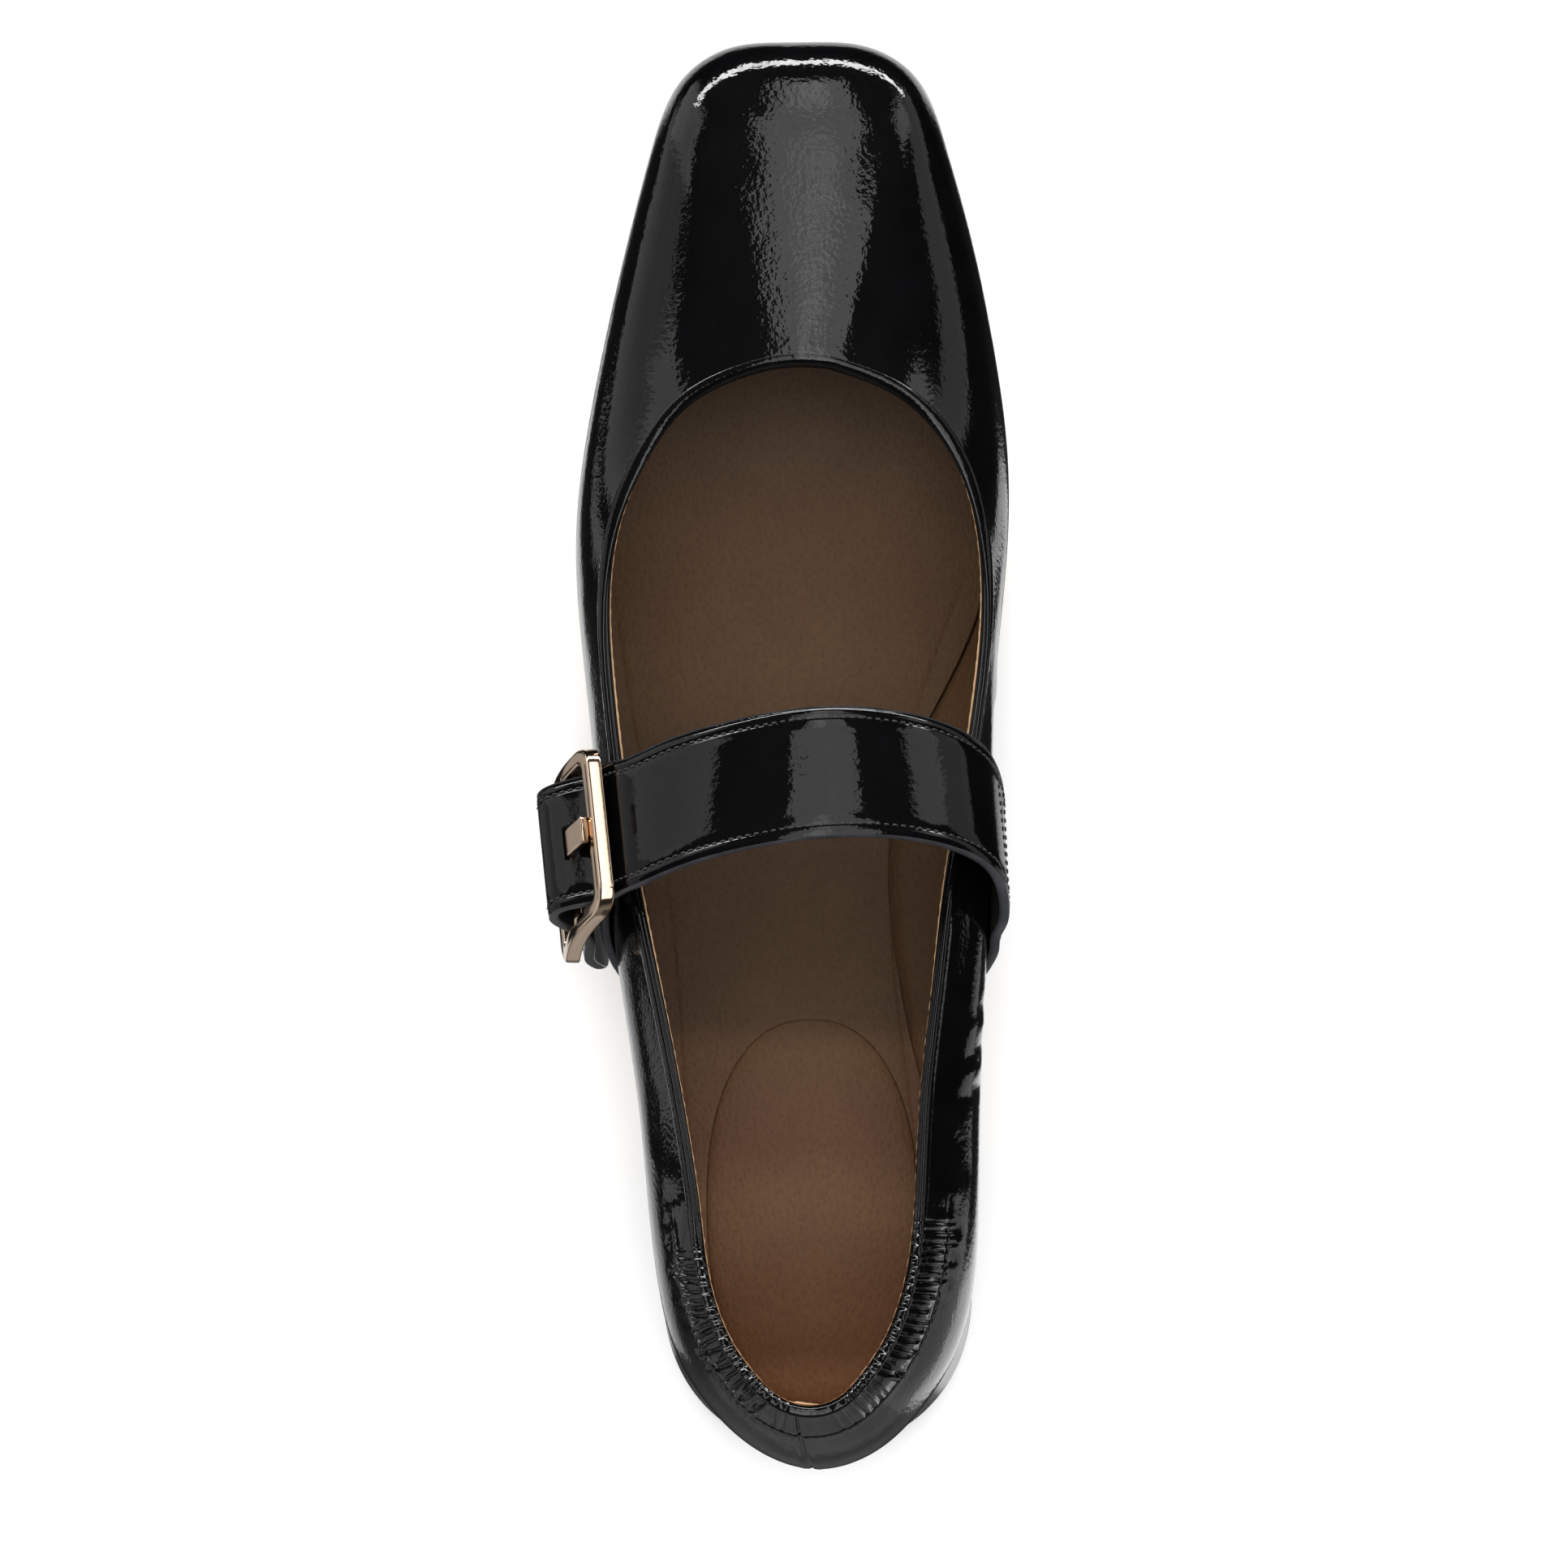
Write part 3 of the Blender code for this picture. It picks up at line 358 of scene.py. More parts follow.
def sides_at(outline, y):
    """Outer-side and inner-side x of an outline at places y."""
    heel, toe = int(np.argmin(outline[:, 1])), int(np.argmax(outline[:, 1]))
    loop = np.roll(outline, -heel, 0)
    toe = (toe - heel) % len(loop)
    med, lat = loop[:toe + 1], np.vstack([loop[toe:], loop[:1]])[::-1]
    return np.interp(y, lat[:, 1], lat[:, 0]), np.interp(y, med[:, 1], med[:, 0])


def sole_rows(y0, y1, count, ease):
    """Places along the shoe, closer together towards both ends or towards the toe alone."""
    t = np.linspace(0, 1, count)
    t = 0.5 - 0.5 * np.cos(np.pi * t) if ease == "both" else np.sin(0.5 * np.pi * t)
    return y0 + (y1 - y0) * t


# ---------------------------------------------------------------- mesh makers


def to_metres(points):
    return (np.asarray(points, float) + np.array((SHIFT_X, SHIFT_Y, 0.0))) * MM


def signed_volume(points, faces):
    total = 0.0
    quads = np.array([f for f in faces if len(f) == 4])
    if len(quads):
        p = points[quads]
        total += np.einsum("ij,ij->", p[:, 0], np.cross(p[:, 1], p[:, 2]))
        total += np.einsum("ij,ij->", p[:, 0], np.cross(p[:, 2], p[:, 3]))
    for f in faces:
        if len(f) != 4:
            for k in range(1, len(f) - 1):
                total += np.dot(points[f[0]], np.cross(points[f[k]], points[f[k + 1]]))
    return total


def piece(name, points, faces, look, slot=None, replaces=(), uv=None):
    """One mesh piece of the shoe: points in millimetres, riding on the one body."""
    faces = [tuple(int(i) for i in f) for f in faces]
    points = np.asarray(points, float)
    if signed_volume(points, faces) < 0:
        faces = [f[::-1] for f in faces]
    mesh = bpy.data.meshes.new(name)
    mesh.from_pydata(to_metres(points).tolist(), [], faces)
    for one in (look if isinstance(look, (list, tuple)) else [look]):
        mesh.materials.append(one)
    mesh.polygons.foreach_set("use_smooth", np.ones(len(mesh.polygons), bool))
    if uv is not None:
        layer = mesh.uv_layers.new(name="flat")
        order = np.empty(len(mesh.loops), np.int32)
        mesh.loops.foreach_get("vertex_index", order)
        layer.data.foreach_set("uv", np.asarray(uv, np.float32)[order].ravel())
    mesh.update()
    obj = bpy.data.objects.new(name, mesh)
    bpy.context.scene.collection.objects.link(obj)
    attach(obj, "root")
    for node in replaces:
        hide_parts(node)
    return obj


def tube_faces(rows, cols, close_rows=False):
    """Quads of a tube: every row is a closed ring of cols points."""
    last = rows if close_rows else rows - 1
    i, j = np.meshgrid(np.arange(last), np.arange(cols), indexing="ij")
    k, m = (i + 1) % rows, (j + 1) % cols
    return np.stack([i * cols + j, i * cols + m, k * cols + m, k * cols + j], -1).reshape(-1, 4).tolist()


def loft(name, rings, look, close_rows=False, **more):
    rings = np.asarray(rings, float)
    rows, cols = rings.shape[:2]
    faces = tube_faces(rows, cols, close_rows)
    if not close_rows:
        faces.append(list(range(cols))[::-1])
        faces.append([(rows - 1) * cols + j for j in range(cols)])
    return piece(name, rings.reshape(-1, 3), faces, look, **more)


def step(x, lo, hi):
    """Smooth 0 to 1 between lo and hi."""
    t = np.clip((np.asarray(x, float) - lo) / (hi - lo), 0, 1)
    return t * t * (3 - 2 * t)


def bell(x, width):
    return np.exp(-(np.asarray(x, float) / width) ** 2)


def unit(v):
    return v / np.maximum(np.linalg.norm(v, axis=-1, keepdims=True), 1e-12)


def sheet_normals(sheet):
    return unit(np.cross(np.gradient(sheet, axis=1), np.gradient(sheet, axis=0)))


def strip_rings(sheet, normals, thick, lift=0.0, roll=0.35):
    """Rings round a strip of even thickness: two faces and two rounded edges. sheet is its middle."""
    half = 0.5 * thick
    far = sheet + normals * np.broadcast_to(half + lift, sheet.shape[:2])[..., None]
    near = sheet - normals * half
    out_a = unit(sheet[:, 0] - sheet[:, 1])[:, None]
    out_b = unit(sheet[:, -1] - sheet[:, -2])[:, None]
    na, nb = normals[:, :1], normals[:, -1:]
    a, b = sheet[:, :1], sheet[:, -1:]
    turns = np.radians((65, 35, 0, -35, -65))
    edge_b = [b + nb * half * math.sin(t) + out_b * roll * math.cos(t) for t in turns]
    edge_a = [a + na * half * math.sin(t) + out_a * roll * math.cos(t) for t in turns[::-1]]
    return np.concatenate([far] + edge_b + [near[:, ::-1]] + edge_a, axis=1)


def stitches(name, line, normals, pitch, length, radius, look, slot, sink=0.12):
    """Row of sewn threads along a line: each one rises from its hole, runs flat and dips in again."""
    line, normals = np.asarray(line, float), unit(np.asarray(normals, float))
    run = run_along(line)
    count = int(run[-1] // pitch)
    offset = 0.5 * (run[-1] - count * pitch)
    sides, hoops = 6, 7
    pts, faces = [], []
    for k in range(count):
        s = offset + (k + 0.5) * pitch + np.linspace(-0.5, 0.5, hoops) * length
        mid = read_along(line, run, s)
        up = unit(read_along(normals, run, s))
        along = unit(np.gradient(mid, axis=0))
        across = np.cross(along, up)
        x = np.linspace(-1, 1, hoops)
        fat = radius * np.sqrt(np.clip(1 - 0.86 * np.abs(x) ** 5, 0, 1))
        high = radius * 0.55 - (radius + sink) * np.abs(x) ** 4
        mid = mid + up * high[:, None]
        ang = np.arange(sides) * 2 * np.pi / sides
        ring = (mid[:, None] + across[:, None] * (np.cos(ang)[None, :, None] * fat[:, None, None])
                + up[:, None] * (np.sin(ang)[None, :, None] * fat[:, None, None] * 0.8))
        base = len(pts) * sides * hoops
        pts.append(ring.reshape(-1, 3))
        for f in tube_faces(hoops, sides):
            faces.append([base + i for i in f])
        faces.append([base + j for j in range(sides)][::-1])
        faces.append([base + (hoops - 1) * sides + j for j in range(sides)])
    return piece(name, np.concatenate(pts), faces, look, slot=slot)


# ---------------------------------------------------------------- materials


class Graph:
    """Short way to build one material's nodes."""

    def __init__(self, name, world=False):
        self.made = (bpy.data.worlds if world else bpy.data.materials).new(name)
        self.made.use_nodes = True
        self.tree = self.made.node_tree
        self.shader = self.tree.nodes["Background" if world else "Principled BSDF"]
        self.place = self.tree.nodes.new("ShaderNodeTexCoord").outputs["Generated" if world else "Object"]

    def node(self, kind, **inputs):
        made = self.tree.nodes.new(kind)
        for key, value in inputs.items():
            if key.startswith("set_"):
                setattr(made, key[4:], value)
                continue
            socket = made.inputs[int(key[1:])] if key[0] == "i" and key[1:].isdigit() else \
                made.inputs[key.replace("_", " ")]
            if isinstance(value, bpy.types.NodeSocket):
                self.tree.links.new(value, socket)
            else:
                socket.default_value = value
        return made

    def set(self, **inputs):
        for key, value in inputs.items():
            socket = self.shader.inputs[key.replace("_", " ")]
            if isinstance(value, bpy.types.NodeSocket):
                self.tree.links.new(value, socket)
            else:
                socket.default_value = value

    def scaled(self, x, y, z, turn=0.0):
        """The place on the object, turned about the upright axis and scaled."""
        return self.node("ShaderNodeMapping", Vector=self.place, Rotation=(0.0, 0.0, turn),
                         Scale=(x, y, z)).outputs[0]

    def noise(self, size_mm, detail=2.0, rough=0.5, place=None):
        return self.node("ShaderNodeTexNoise", Vector=place or self.place, Scale=1.0 / (size_mm * MM),
                         Detail=detail, Roughness=rough).outputs["Fac"]

    def wave(self, way, scale, distort, detail, place):
        return self.node("ShaderNodeTexWave", Vector=place, set_bands_direction=way, Scale=scale,
                         Distortion=distort, Detail=detail).outputs["Fac"]

    def cells(self, size_mm, place=None, feature="F1"):
        return self.node("ShaderNodeTexVoronoi", set_feature=feature, Vector=place or self.place,
                         Scale=1.0 / (size_mm * MM)).outputs["Distance"]

    def math(self, how, a, b=0.0):
        return self.node("ShaderNodeMath", set_operation=how, i0=a, i1=b).outputs[0]

    def ramp(self, value, stops, smooth=False):
        made = self.node("ShaderNodeValToRGB", Fac=value)
        band = made.color_ramp
        band.interpolation = "EASE" if smooth else "LINEAR"
        while len(band.elements) < len(stops):
            band.elements.new(0.5)
        for element, (at, colour) in zip(band.elements, stops):
            element.position = at
            element.color = (*colour, 1.0)
        return made.outputs["Color"]

    def mix(self, how, fac, a, b):
        made = self.node("ShaderNodeMix", set_data_type="RGBA", set_blend_type=how)
        for socket, value in ((made.inputs[0], fac), (made.inputs[6], a), (made.inputs[7], b)):
            if isinstance(value, bpy.types.NodeSocket):
                self.tree.links.new(value, socket)
            else:
                socket.default_value = value if isinstance(value, float) else (*value, 1.0)
        return made.outputs[2]

    def bump(self, height, strength, depth_mm, normal=None):
        inputs = {"Strength": strength, "Distance": depth_mm * MM, "Height": height}
        if normal is not None:
            inputs["Normal"] = normal
        return self.node("ShaderNodeBump", **inputs).outputs[0]

    def grey(self, value, low, high):
        """A value spread between two numbers, as a map for roughness."""
        return self.node("ShaderNodeMapRange", Value=value, To_Min=low, To_Max=high).outputs[0]

    def axis(self, name):
        return self.node("ShaderNodeSeparateXYZ", Vector=self.place).outputs[name]


def srgb(r, g, b):
    return tuple((c / 255 / 12.92) if c <= 10 else ((c / 255 + 0.055) / 1.055) ** 2.4 for c in (r, g, b))


def patent_leather(name, dark, light, peel, coat, rough=0.30):
    """Lacquered leather: black under a clear coat whose skin ripples like orange peel."""
    g = Graph(name)
    colour = g.ramp(g.noise(9.0, 4.0, 0.6), [(0.3, dark), (0.7, light)])
    ripple = g.noise(0.95, 1.5, 0.5)
    swell = g.noise(11.0, 1.5, 0.45)
    dust = g.cells(0.55)
    normal = g.bump(swell, 1.0, peel * 0.20)
    normal = g.bump(ripple, 1.0, peel * 0.046, normal)
    under = g.bump(dust, 0.4, 0.02, normal)
    g.set(Base_Color=colour, Roughness=g.grey(g.noise(4.0, 3.0), rough - 0.04, rough + 0.06),
          Normal=under, Coat_Weight=coat, Coat_Roughness=0.025, Coat_IOR=1.5, Coat_Normal=normal,
          Specular_IOR_Level=0.012)
    return g.made


def grained_leather(name, stops, grain_mm, depth, rough, gloss=0.4, along=None):
    """Drum-dyed leather with pores, fine wrinkles, a cloudy colour and painted shade in the grain's hollows;
    along multiplies tones into it.
    """
    g = Graph(name)
    cloud = g.noise(22.0, 4.0, 0.55)
    spot = g.noise(0.6, 3.0, 0.6)
    colour = g.ramp(g.math("ADD", g.math("MULTIPLY", cloud, 0.75), g.math("MULTIPLY", spot, 0.25)), stops)
    # along holds painted shade and colour cast along the shoe, multiplied into the colour.
    if along:
        share = g.node("ShaderNodeMapRange", Value=g.axis("Y"), From_Min=(TONES_FROM_Y + SHIFT_Y) * MM,
                       From_Max=(TONES_TO_Y + SHIFT_Y) * MM).outputs[0]
        colour = g.mix("MULTIPLY", 1.0, colour, g.ramp(share, along, True))
    wrinkle = g.cells(grain_mm, g.scaled(1.0, 0.6, 1.0, 0.7), "SMOOTH_F1")
    pores = g.noise(grain_mm * 0.45, 2.0, 0.7)
    normal = g.bump(g.noise(16.0, 2.0), 0.5, depth * 3.0)
    normal = g.bump(wrinkle, 0.75, depth, normal)
    normal = g.bump(pores, 0.5, depth * 0.6, normal)
    # The grain's hollows are darkened in the colour: painted shade where the bump sinks.
    between = g.ramp(wrinkle, [(0.05, (0.45, 0.42, 0.40)), (0.5, (1.0, 1.0, 1.0))])
    colour = g.mix("MULTIPLY", 0.30, colour, between)
    g.set(Base_Color=colour, Roughness=g.grey(spot, rough - 0.06, rough + 0.08), Normal=normal,
          Specular_IOR_Level=gloss)
    return g.made


def plain_coat(name, low, high, size_mm, rough, depth, gloss=0.5, coat=0.0):
    g = Graph(name)
    grain = g.noise(size_mm, 3.0, 0.6)
    colour = g.ramp(g.noise(size_mm * 8.0, 3.0), [(0.3, low), (0.7, high)])
    normal = g.bump(grain, 0.6, depth)
    g.set(Base_Color=colour, Roughness=g.grey(g.noise(size_mm * 4.0, 2.0), rough - 0.05, rough + 0.07),
          Normal=normal, Specular_IOR_Level=gloss, Coat_Weight=coat, Coat_Roughness=0.06)
    return g.made


def polished_metal(name, colour, rough):
    """Plated brass: a warm mirror with faint polishing marks and dulled patches."""
    g = Graph(name)
    marks = g.noise(0.35, 2.0, 0.5, g.scaled(1.0, 0.12, 1.0))
    cloud = g.noise(5.0, 3.0)
    tone = g.ramp(cloud, [(0.25, tuple(0.94 * c for c in colour)), (0.75, colour)])
    g.set(Base_Color=tone, Metallic=1.0, Roughness=g.grey(marks, rough - 0.03, rough + 0.06),
          Normal=g.bump(marks, 0.12, 0.012))
    return g.made


def woven_elastic(name):
    """Black webbing: ribs along the strip, crossed by the rubber threads."""
    g = Graph(name)
    flat = g.node("ShaderNodeUVMap").outputs[0]
    ribs = g.wave("X", 0.5 / (0.95 * MM) / 3.14159, 0.4, 1.0, flat)
    threads = g.wave("Y", 0.5 / (0.42 * MM) / 3.14159, 0.3, 1.0, flat)
    weave = g.math("ADD", g.math("MULTIPLY", ribs, 0.6), g.math("MULTIPLY", threads, 0.4))
    colour = g.ramp(weave, [(0.15, (0.004, 0.004, 0.005)), (0.8, (0.030, 0.030, 0.034))])
    g.set(Base_Color=colour, Roughness=g.grey(weave, 0.75, 0.9), Normal=g.bump(weave, 0.9, 0.22),
          Specular_IOR_Level=0.3, Sheen_Weight=0.25, Sheen_Roughness=0.5)
    return g.made


def sewing_thread(name, low, high):
    g = Graph(name)
    twist = g.wave("DIAGONAL", 1.0 / (0.5 * MM), 1.0, 2.0, g.place)
    g.set(Base_Color=g.ramp(twist, [(0.1, low), (0.9, high)]), Roughness=g.grey(twist, 0.35, 0.5),
          Normal=g.bump(twist, 0.5, 0.06), Specular_IOR_Level=0.5)
    return g.made


LACQUER = ((0.0008, 0.0008, 0.0010), (0.0016, 0.0016, 0.0020))
PATENT = patent_leather("patent_black_lacquer", *LACQUER, 1.0, 1.0)
STRAP_SKIN = patent_leather("patent_black_strap", *LACQUER, 0.5, 0.75)
EDGE_PAINT = plain_coat("edge_paint", srgb(40, 41, 44), srgb(60, 61, 66), 0.6, 0.32, 0.05, 0.5)
STRAP_BACK = grained_leather("strap_backing", [(0.3, srgb(20, 18, 18)), (0.7, srgb(34, 30, 29))],
                             0.8, 0.05, 0.5)
# Tones multiplied into the footbed's colour along the shoe: share of the way, then red, green and blue.
# They aren't dye or dust. They imitate the shade and the colour cast that the photographed footbed has
# and the light of this scene doesn't give, so they hold for the view from above only.
TONES_FROM_Y, TONES_TO_Y = 16.0, 216.0
FOOTBED_PAINTED_SHADE = [
    (0.0, (1.25, 1.22, 1.12)), (0.04, (0.78, 0.70, 0.58)), (0.08, (0.75, 0.69, 0.67)),
    (0.17, (0.80, 0.88, 0.95)), (0.24, (0.60, 0.62, 0.68)), (0.31, (0.56, 0.61, 0.62)),
    (0.35, (0.36, 0.41, 0.42)), (0.50, (0.34, 0.39, 0.40)), (0.66, (0.46, 0.52, 0.49)),
    (0.74, (0.46, 0.50, 0.48)), (0.83, (0.50, 0.56, 0.58)), (0.92, (0.50, 0.64, 0.80)),
]
FOOTBED = grained_leather("footbed_leather", [(0.30, srgb(101, 69, 47)), (0.55, srgb(108, 75, 51)),
                          (0.75, srgb(115, 81, 56))], 0.70, 0.19, 0.55, 0.12, FOOTBED_PAINTED_SHADE)
RAW_EDGE = grained_leather("raw_edge_tan", [(0.3, srgb(152, 120, 88)), (0.7, srgb(186, 150, 113))],
                           0.5, 0.08, 0.75)
OUTSOLE = grained_leather("outsole_leather", [(0.30, srgb(205, 170, 130)), (0.55, srgb(216, 183, 143)),
                          (0.75, srgb(224, 194, 156))], 0.62, 0.05, 0.48, 0.35)
HEEL = plain_coat("heel_lacquer", (0.006, 0.006, 0.0065), (0.010, 0.010, 0.011), 1.4, 0.28, 0.04, 0.5, 0.8)
LIFT = plain_coat("lift_rubber_grey", srgb(44, 45, 47), srgb(56, 57, 60), 0.5, 0.52, 0.05, 0.4)
WEBBING = woven_elastic("elastic_webbing")
THREAD = sewing_thread("thread_black", (0.006, 0.006, 0.007), (0.03, 0.03, 0.034))
GOLD = polished_metal("rose_gold_plate", (0.88, 0.67, 0.50), 0.09)


# ---------------------------------------------------------------- upper

BACK_U = float(side_u("lat", 50.0)) - 1.0
FRONT_U = float(side_u("med", 50.0))
TOP_U = np.linspace(-0.5, 0.5, 3001)
TOP_LINE = wall_point(TOP_U, np.ones_like(TOP_U))
TOP_RUN = run_along(TOP_LINE)
TOP_RUN -= TOP_RUN[len(TOP_RUN) // 2]

# Gathers, by side: where they start and end along the topline from the back seam, then how deep
# the folds are at the start, the middle and the end, and where they begin to die away.
GATHERS = ((-1, 4.5, 47.0, 0.34, 0.72, 0.62, 35.5), (1, 4.0, 46.0, 0.24, 0.46, 0.62, 46.0))
# Soft troughs (minus) and ridges (plus): place along the topline, depth below it, angle from the
# topline's direction in degrees, half length, half width, height.
CREASES = (
    (-49.0, 8.0, 100.0, 5.0, 2.0, -0.14), (-45.5, 11.0, 60.0, 4.0, 1.6, -0.16),
    (-54.5, 9.0, 95.0, 8.0, 3.0, 0.10), (-42.0, 11.0, 75.0, 4.0, 1.2, -0.24),
    (-66.0, 12.0, 20.0, 9.0, 3.0, -0.16), (-37.0, 12.5, 90.0, 3.5, 1.2, -0.20),
    (-32.0, 12.0, 80.0, 3.5, 1.2, -0.16), (-27.5, 11.5, 95.0, 3.0, 1.2, -0.14),
    (47.0, 6.0, 85.0, 5.0, 1.5, -0.30), (51.0, 9.0, 115.0, 5.0, 1.8, 0.18),
    (43.5, 11.0, 100.0, 5.0, 1.5, -0.28), (38.0, 12.5, 95.0, 4.0, 1.4, -0.22),
    (33.0, 12.0, 85.0, 3.5, 1.3, -0.16), (57.0, 13.0, 150.0, 8.0, 2.4, -0.22),
    (70.0, 16.0, 75.0, 9.0, 1.6, -0.20), (74.0, 14.0, 80.0, 10.0, 1.8, 0.20),
    (78.5, 17.0, 72.0, 9.0, 1.5, -0.22), (83.0, 15.0, 78.0, 8.0, 1.6, 0.16),
    (87.0, 18.0, 70.0, 7.0, 1.6, -0.16),
)


def top_run(u):
    """Length along the topline from the back seam: positive on the inner side."""
    return np.interp(np.mod(np.asarray(u) + 0.5, 1.0) - 0.5, TOP_U, TOP_RUN)


def gather_folds():
    """Each fold of the band: place, depth, half width, reach below the topline, slant."""
    rng = np.random.RandomState(23)
    folds = []
    for side, first, last, at_first, at_middle, at_last, fade in GATHERS:
        s = first
        while s < last:
            share = (s - first) / (last - first)
            deep = np.interp(share, (0.0, 0.35, 0.7, 1.0), (at_first, at_middle, at_last, 0.6 * at_last))
            deep *= rng.uniform(0.55, 1.25) * (1 - step(s, fade, fade + 7.0))
            reach = rng.uniform(7.8, 10.2) if rng.rand() > 0.30 else rng.uniform(10.6, 13.5)
            folds.append((side * s, deep, rng.uniform(0.24, 0.40), reach, side * rng.uniform(-0.06, 0.20)))
            s += rng.uniform(1.2, 2.2) if side < 0 else rng.uniform(1.3, 2.5)
    return folds


FOLDS = gather_folds()


def wall_relief(u, p, top):
    """Height of the leather's own relief over the plain wall: band, seams, gathers, soft creases."""
    s = top_run(u)
    down = np.linalg.norm(p - top, axis=-1)
    back = 1 - step(np.abs(s), 38.0, 52.0)
    out = COLLAR_STEP * (1 - step(down, COLLAR_BAND - 0.9, COLLAR_BAND + 0.2)) * back
    out = out - 0.30 * bell(down - COLLAR_BAND, 0.38) * back
    out = out + 0.10 * bell(down - COLLAR_BAND - 1.1, 0.8) * back
    pillow = np.sin(2 * np.pi * down / COLLAR_BAND - 0.5 * np.pi) * 0.5 + 0.5
    out = out + 0.46 * pillow * (down < COLLAR_BAND) * back * step(np.abs(s), 4.0, 14.0)
    for at, deep, wide, reach, slant in FOLDS:
        near = np.abs(s - at) < 4
        across = s[near] - at - slant * down[near]
        ends = step(down[near], 0.0, 0.6) * (1 - step(down[near], reach - 2.2, reach))
        valley = bell(across, wide) - 0.35 * bell(np.abs(across) - 2.3 * wide, wide)
        out[near] = out[near] - deep * ends * valley
    for run, low, angle, long, wide, height in CREASES:
        a = math.radians(angle)
        ds, dd = s - run, down - low
        along, across = ds * math.cos(a) + dd * math.sin(a), -ds * math.sin(a) + dd * math.cos(a)
        out = out + height * bell(across, wide) * (1 - step(np.abs(along), 0.3 * long, long))
    seam = s - BACK_SEAM_AT - BACK_SEAM_LEAN * down
    hold = 1 - 0.7 * step(down, 24.0, 38.0)
    out = out - hold * (0.55 * bell(seam, 0.24) - 0.12 * bell(np.abs(seam) - 0.75, 0.35))
    return out


def quarter_seam(p):
    """Lapped joint low on the inner side, ahead of the strap: the front part lies over the rear one."""
    x, y, z = p[..., 0], p[..., 1], p[..., 2]
    at = y - QUARTER_SEAM_Y + 0.10 * (z - 10.0)
    low = 1 - step(z, 24.0, 33.0)
    lap = 0.32 * step(at, -0.25, 0.25) * (1 - step(at, 2.0, 9.0)) - 0.10 * bell(at + 0.5, 0.35)
    return (x > 10) * low * lap


def rim_roll(top_y, down):
    """Drop of the wall where the throat's edge is rolled over: down is the distance below the topline."""
    return RIM_DROP / RIM_WIDE * rounded(down, RIM_WIDE) * step(top_y, 150.0, 188.0)


def build_upper():
    """Outer leather of the vamp, quarters and collar, with its relief; its inner face lies on the lining."""
    us = places((BACK_U, FRONT_U, 560), (FRONT_U, BACK_U + 1.0, 430), closed=True)
    vs = places((0, BULGE, 10), (BULGE, 0.78, 22), (0.78, 1.0, 34))
    u, v = np.meshgrid(us, vs, indexing="ij")
    plain = wall_point(u, v)
    normal = wall_normal(u, v)
    top = plain[:, -1:]
    down = np.linalg.norm(plain - top, axis=-1)
    relief = wall_relief(u, plain, top) + quarter_seam(plain) - rim_roll(top[..., 1], down)
    outer = plain + relief[..., None] * normal
    some = np.array([len(vs) - 1, 50, 40, 30, 20, 10, 4, 0])
    inner = plain[:, some] - LEATHER * normal[:, some]
    t = unit(np.roll(outer[:, 0], -1, 0) - np.roll(outer[:, 0], 1, 0))
    side = np.stack([-t[:, 1], t[:, 0], np.zeros(len(t))], axis=1)
    rim = outer[:, 0] + LEATHER * side
    rim[:, 2] = sole_top(rim[:, 1]) + GAP
    inner[:, -1, 2] += 0.2
    ring = np.concatenate([outer, inner, rim[:, None]], axis=1)
    loft("upper_leather", ring, PATENT, close_rows=True, slot="patent_black", replaces=("upper",))


def build_lining():
    """The wall's inner face, from the feather edge to just under the binding."""
    us = np.linspace(0, 1, 420, endpoint=False)
    vs = places((0.0, BULGE, 8), (BULGE, 1.0, 26))
    u, v = np.meshgrid(us, vs, indexing="ij")
    plain = wall_point(u, v)
    normal = wall_normal(u, v)
    ripple = 0.10 * np.sin(0.31 * top_run(u) + 3.0 * v) * step(v, 0.1, 0.4) * (1 - step(v, 0.85, 1.0))
    face = plain - (WALL + ripple)[..., None] * normal
    back = plain[:, ::-3] - (LEATHER + 0.03) * normal[:, ::-3]
    ring = np.concatenate([face, back], axis=1)
    loft("upper_lining", ring, FOOTBED, close_rows=True, slot="footbed_brown")


# Fold of the topline in its own plane: out from the wall's face, then along the wall, sides and heel.
BINDING = (
    (0.03, -1.95, 0.03, -0.70), (0.15, -1.80, 0.20, -0.62), (0.20, -1.30, 0.28, -0.35),
    (0.20, -0.50, 0.26, 0.00), (0.10, 0.00, 0.12, 0.25), (-0.15, 0.28, -0.12, 0.42),
    (-0.52, 0.36, -0.45, 0.50), (-0.80, 0.30, -0.80, 0.50), (-0.95, 0.16, -0.98, 0.44),
    (-1.12, 0.30, -1.15, 0.36), (-1.45, 0.30, -1.45, 0.20), (-1.75, 0.10, -1.70, 0.00),
    (-1.93, -0.25, -1.88, -0.30), (-1.95, -0.90, -1.90, -0.90), (-1.80, -1.05, -1.78, -1.05),
    (-0.9, -0.8, -0.9, -0.9),
)


def topline_frame(us):
    top = wall_point(us, np.ones_like(us))
    n = wall_normal(us, np.full_like(us, 0.999))
    lead = unit(top - wall_point(us, np.full_like(us, 0.985)))
    return top, n, lead


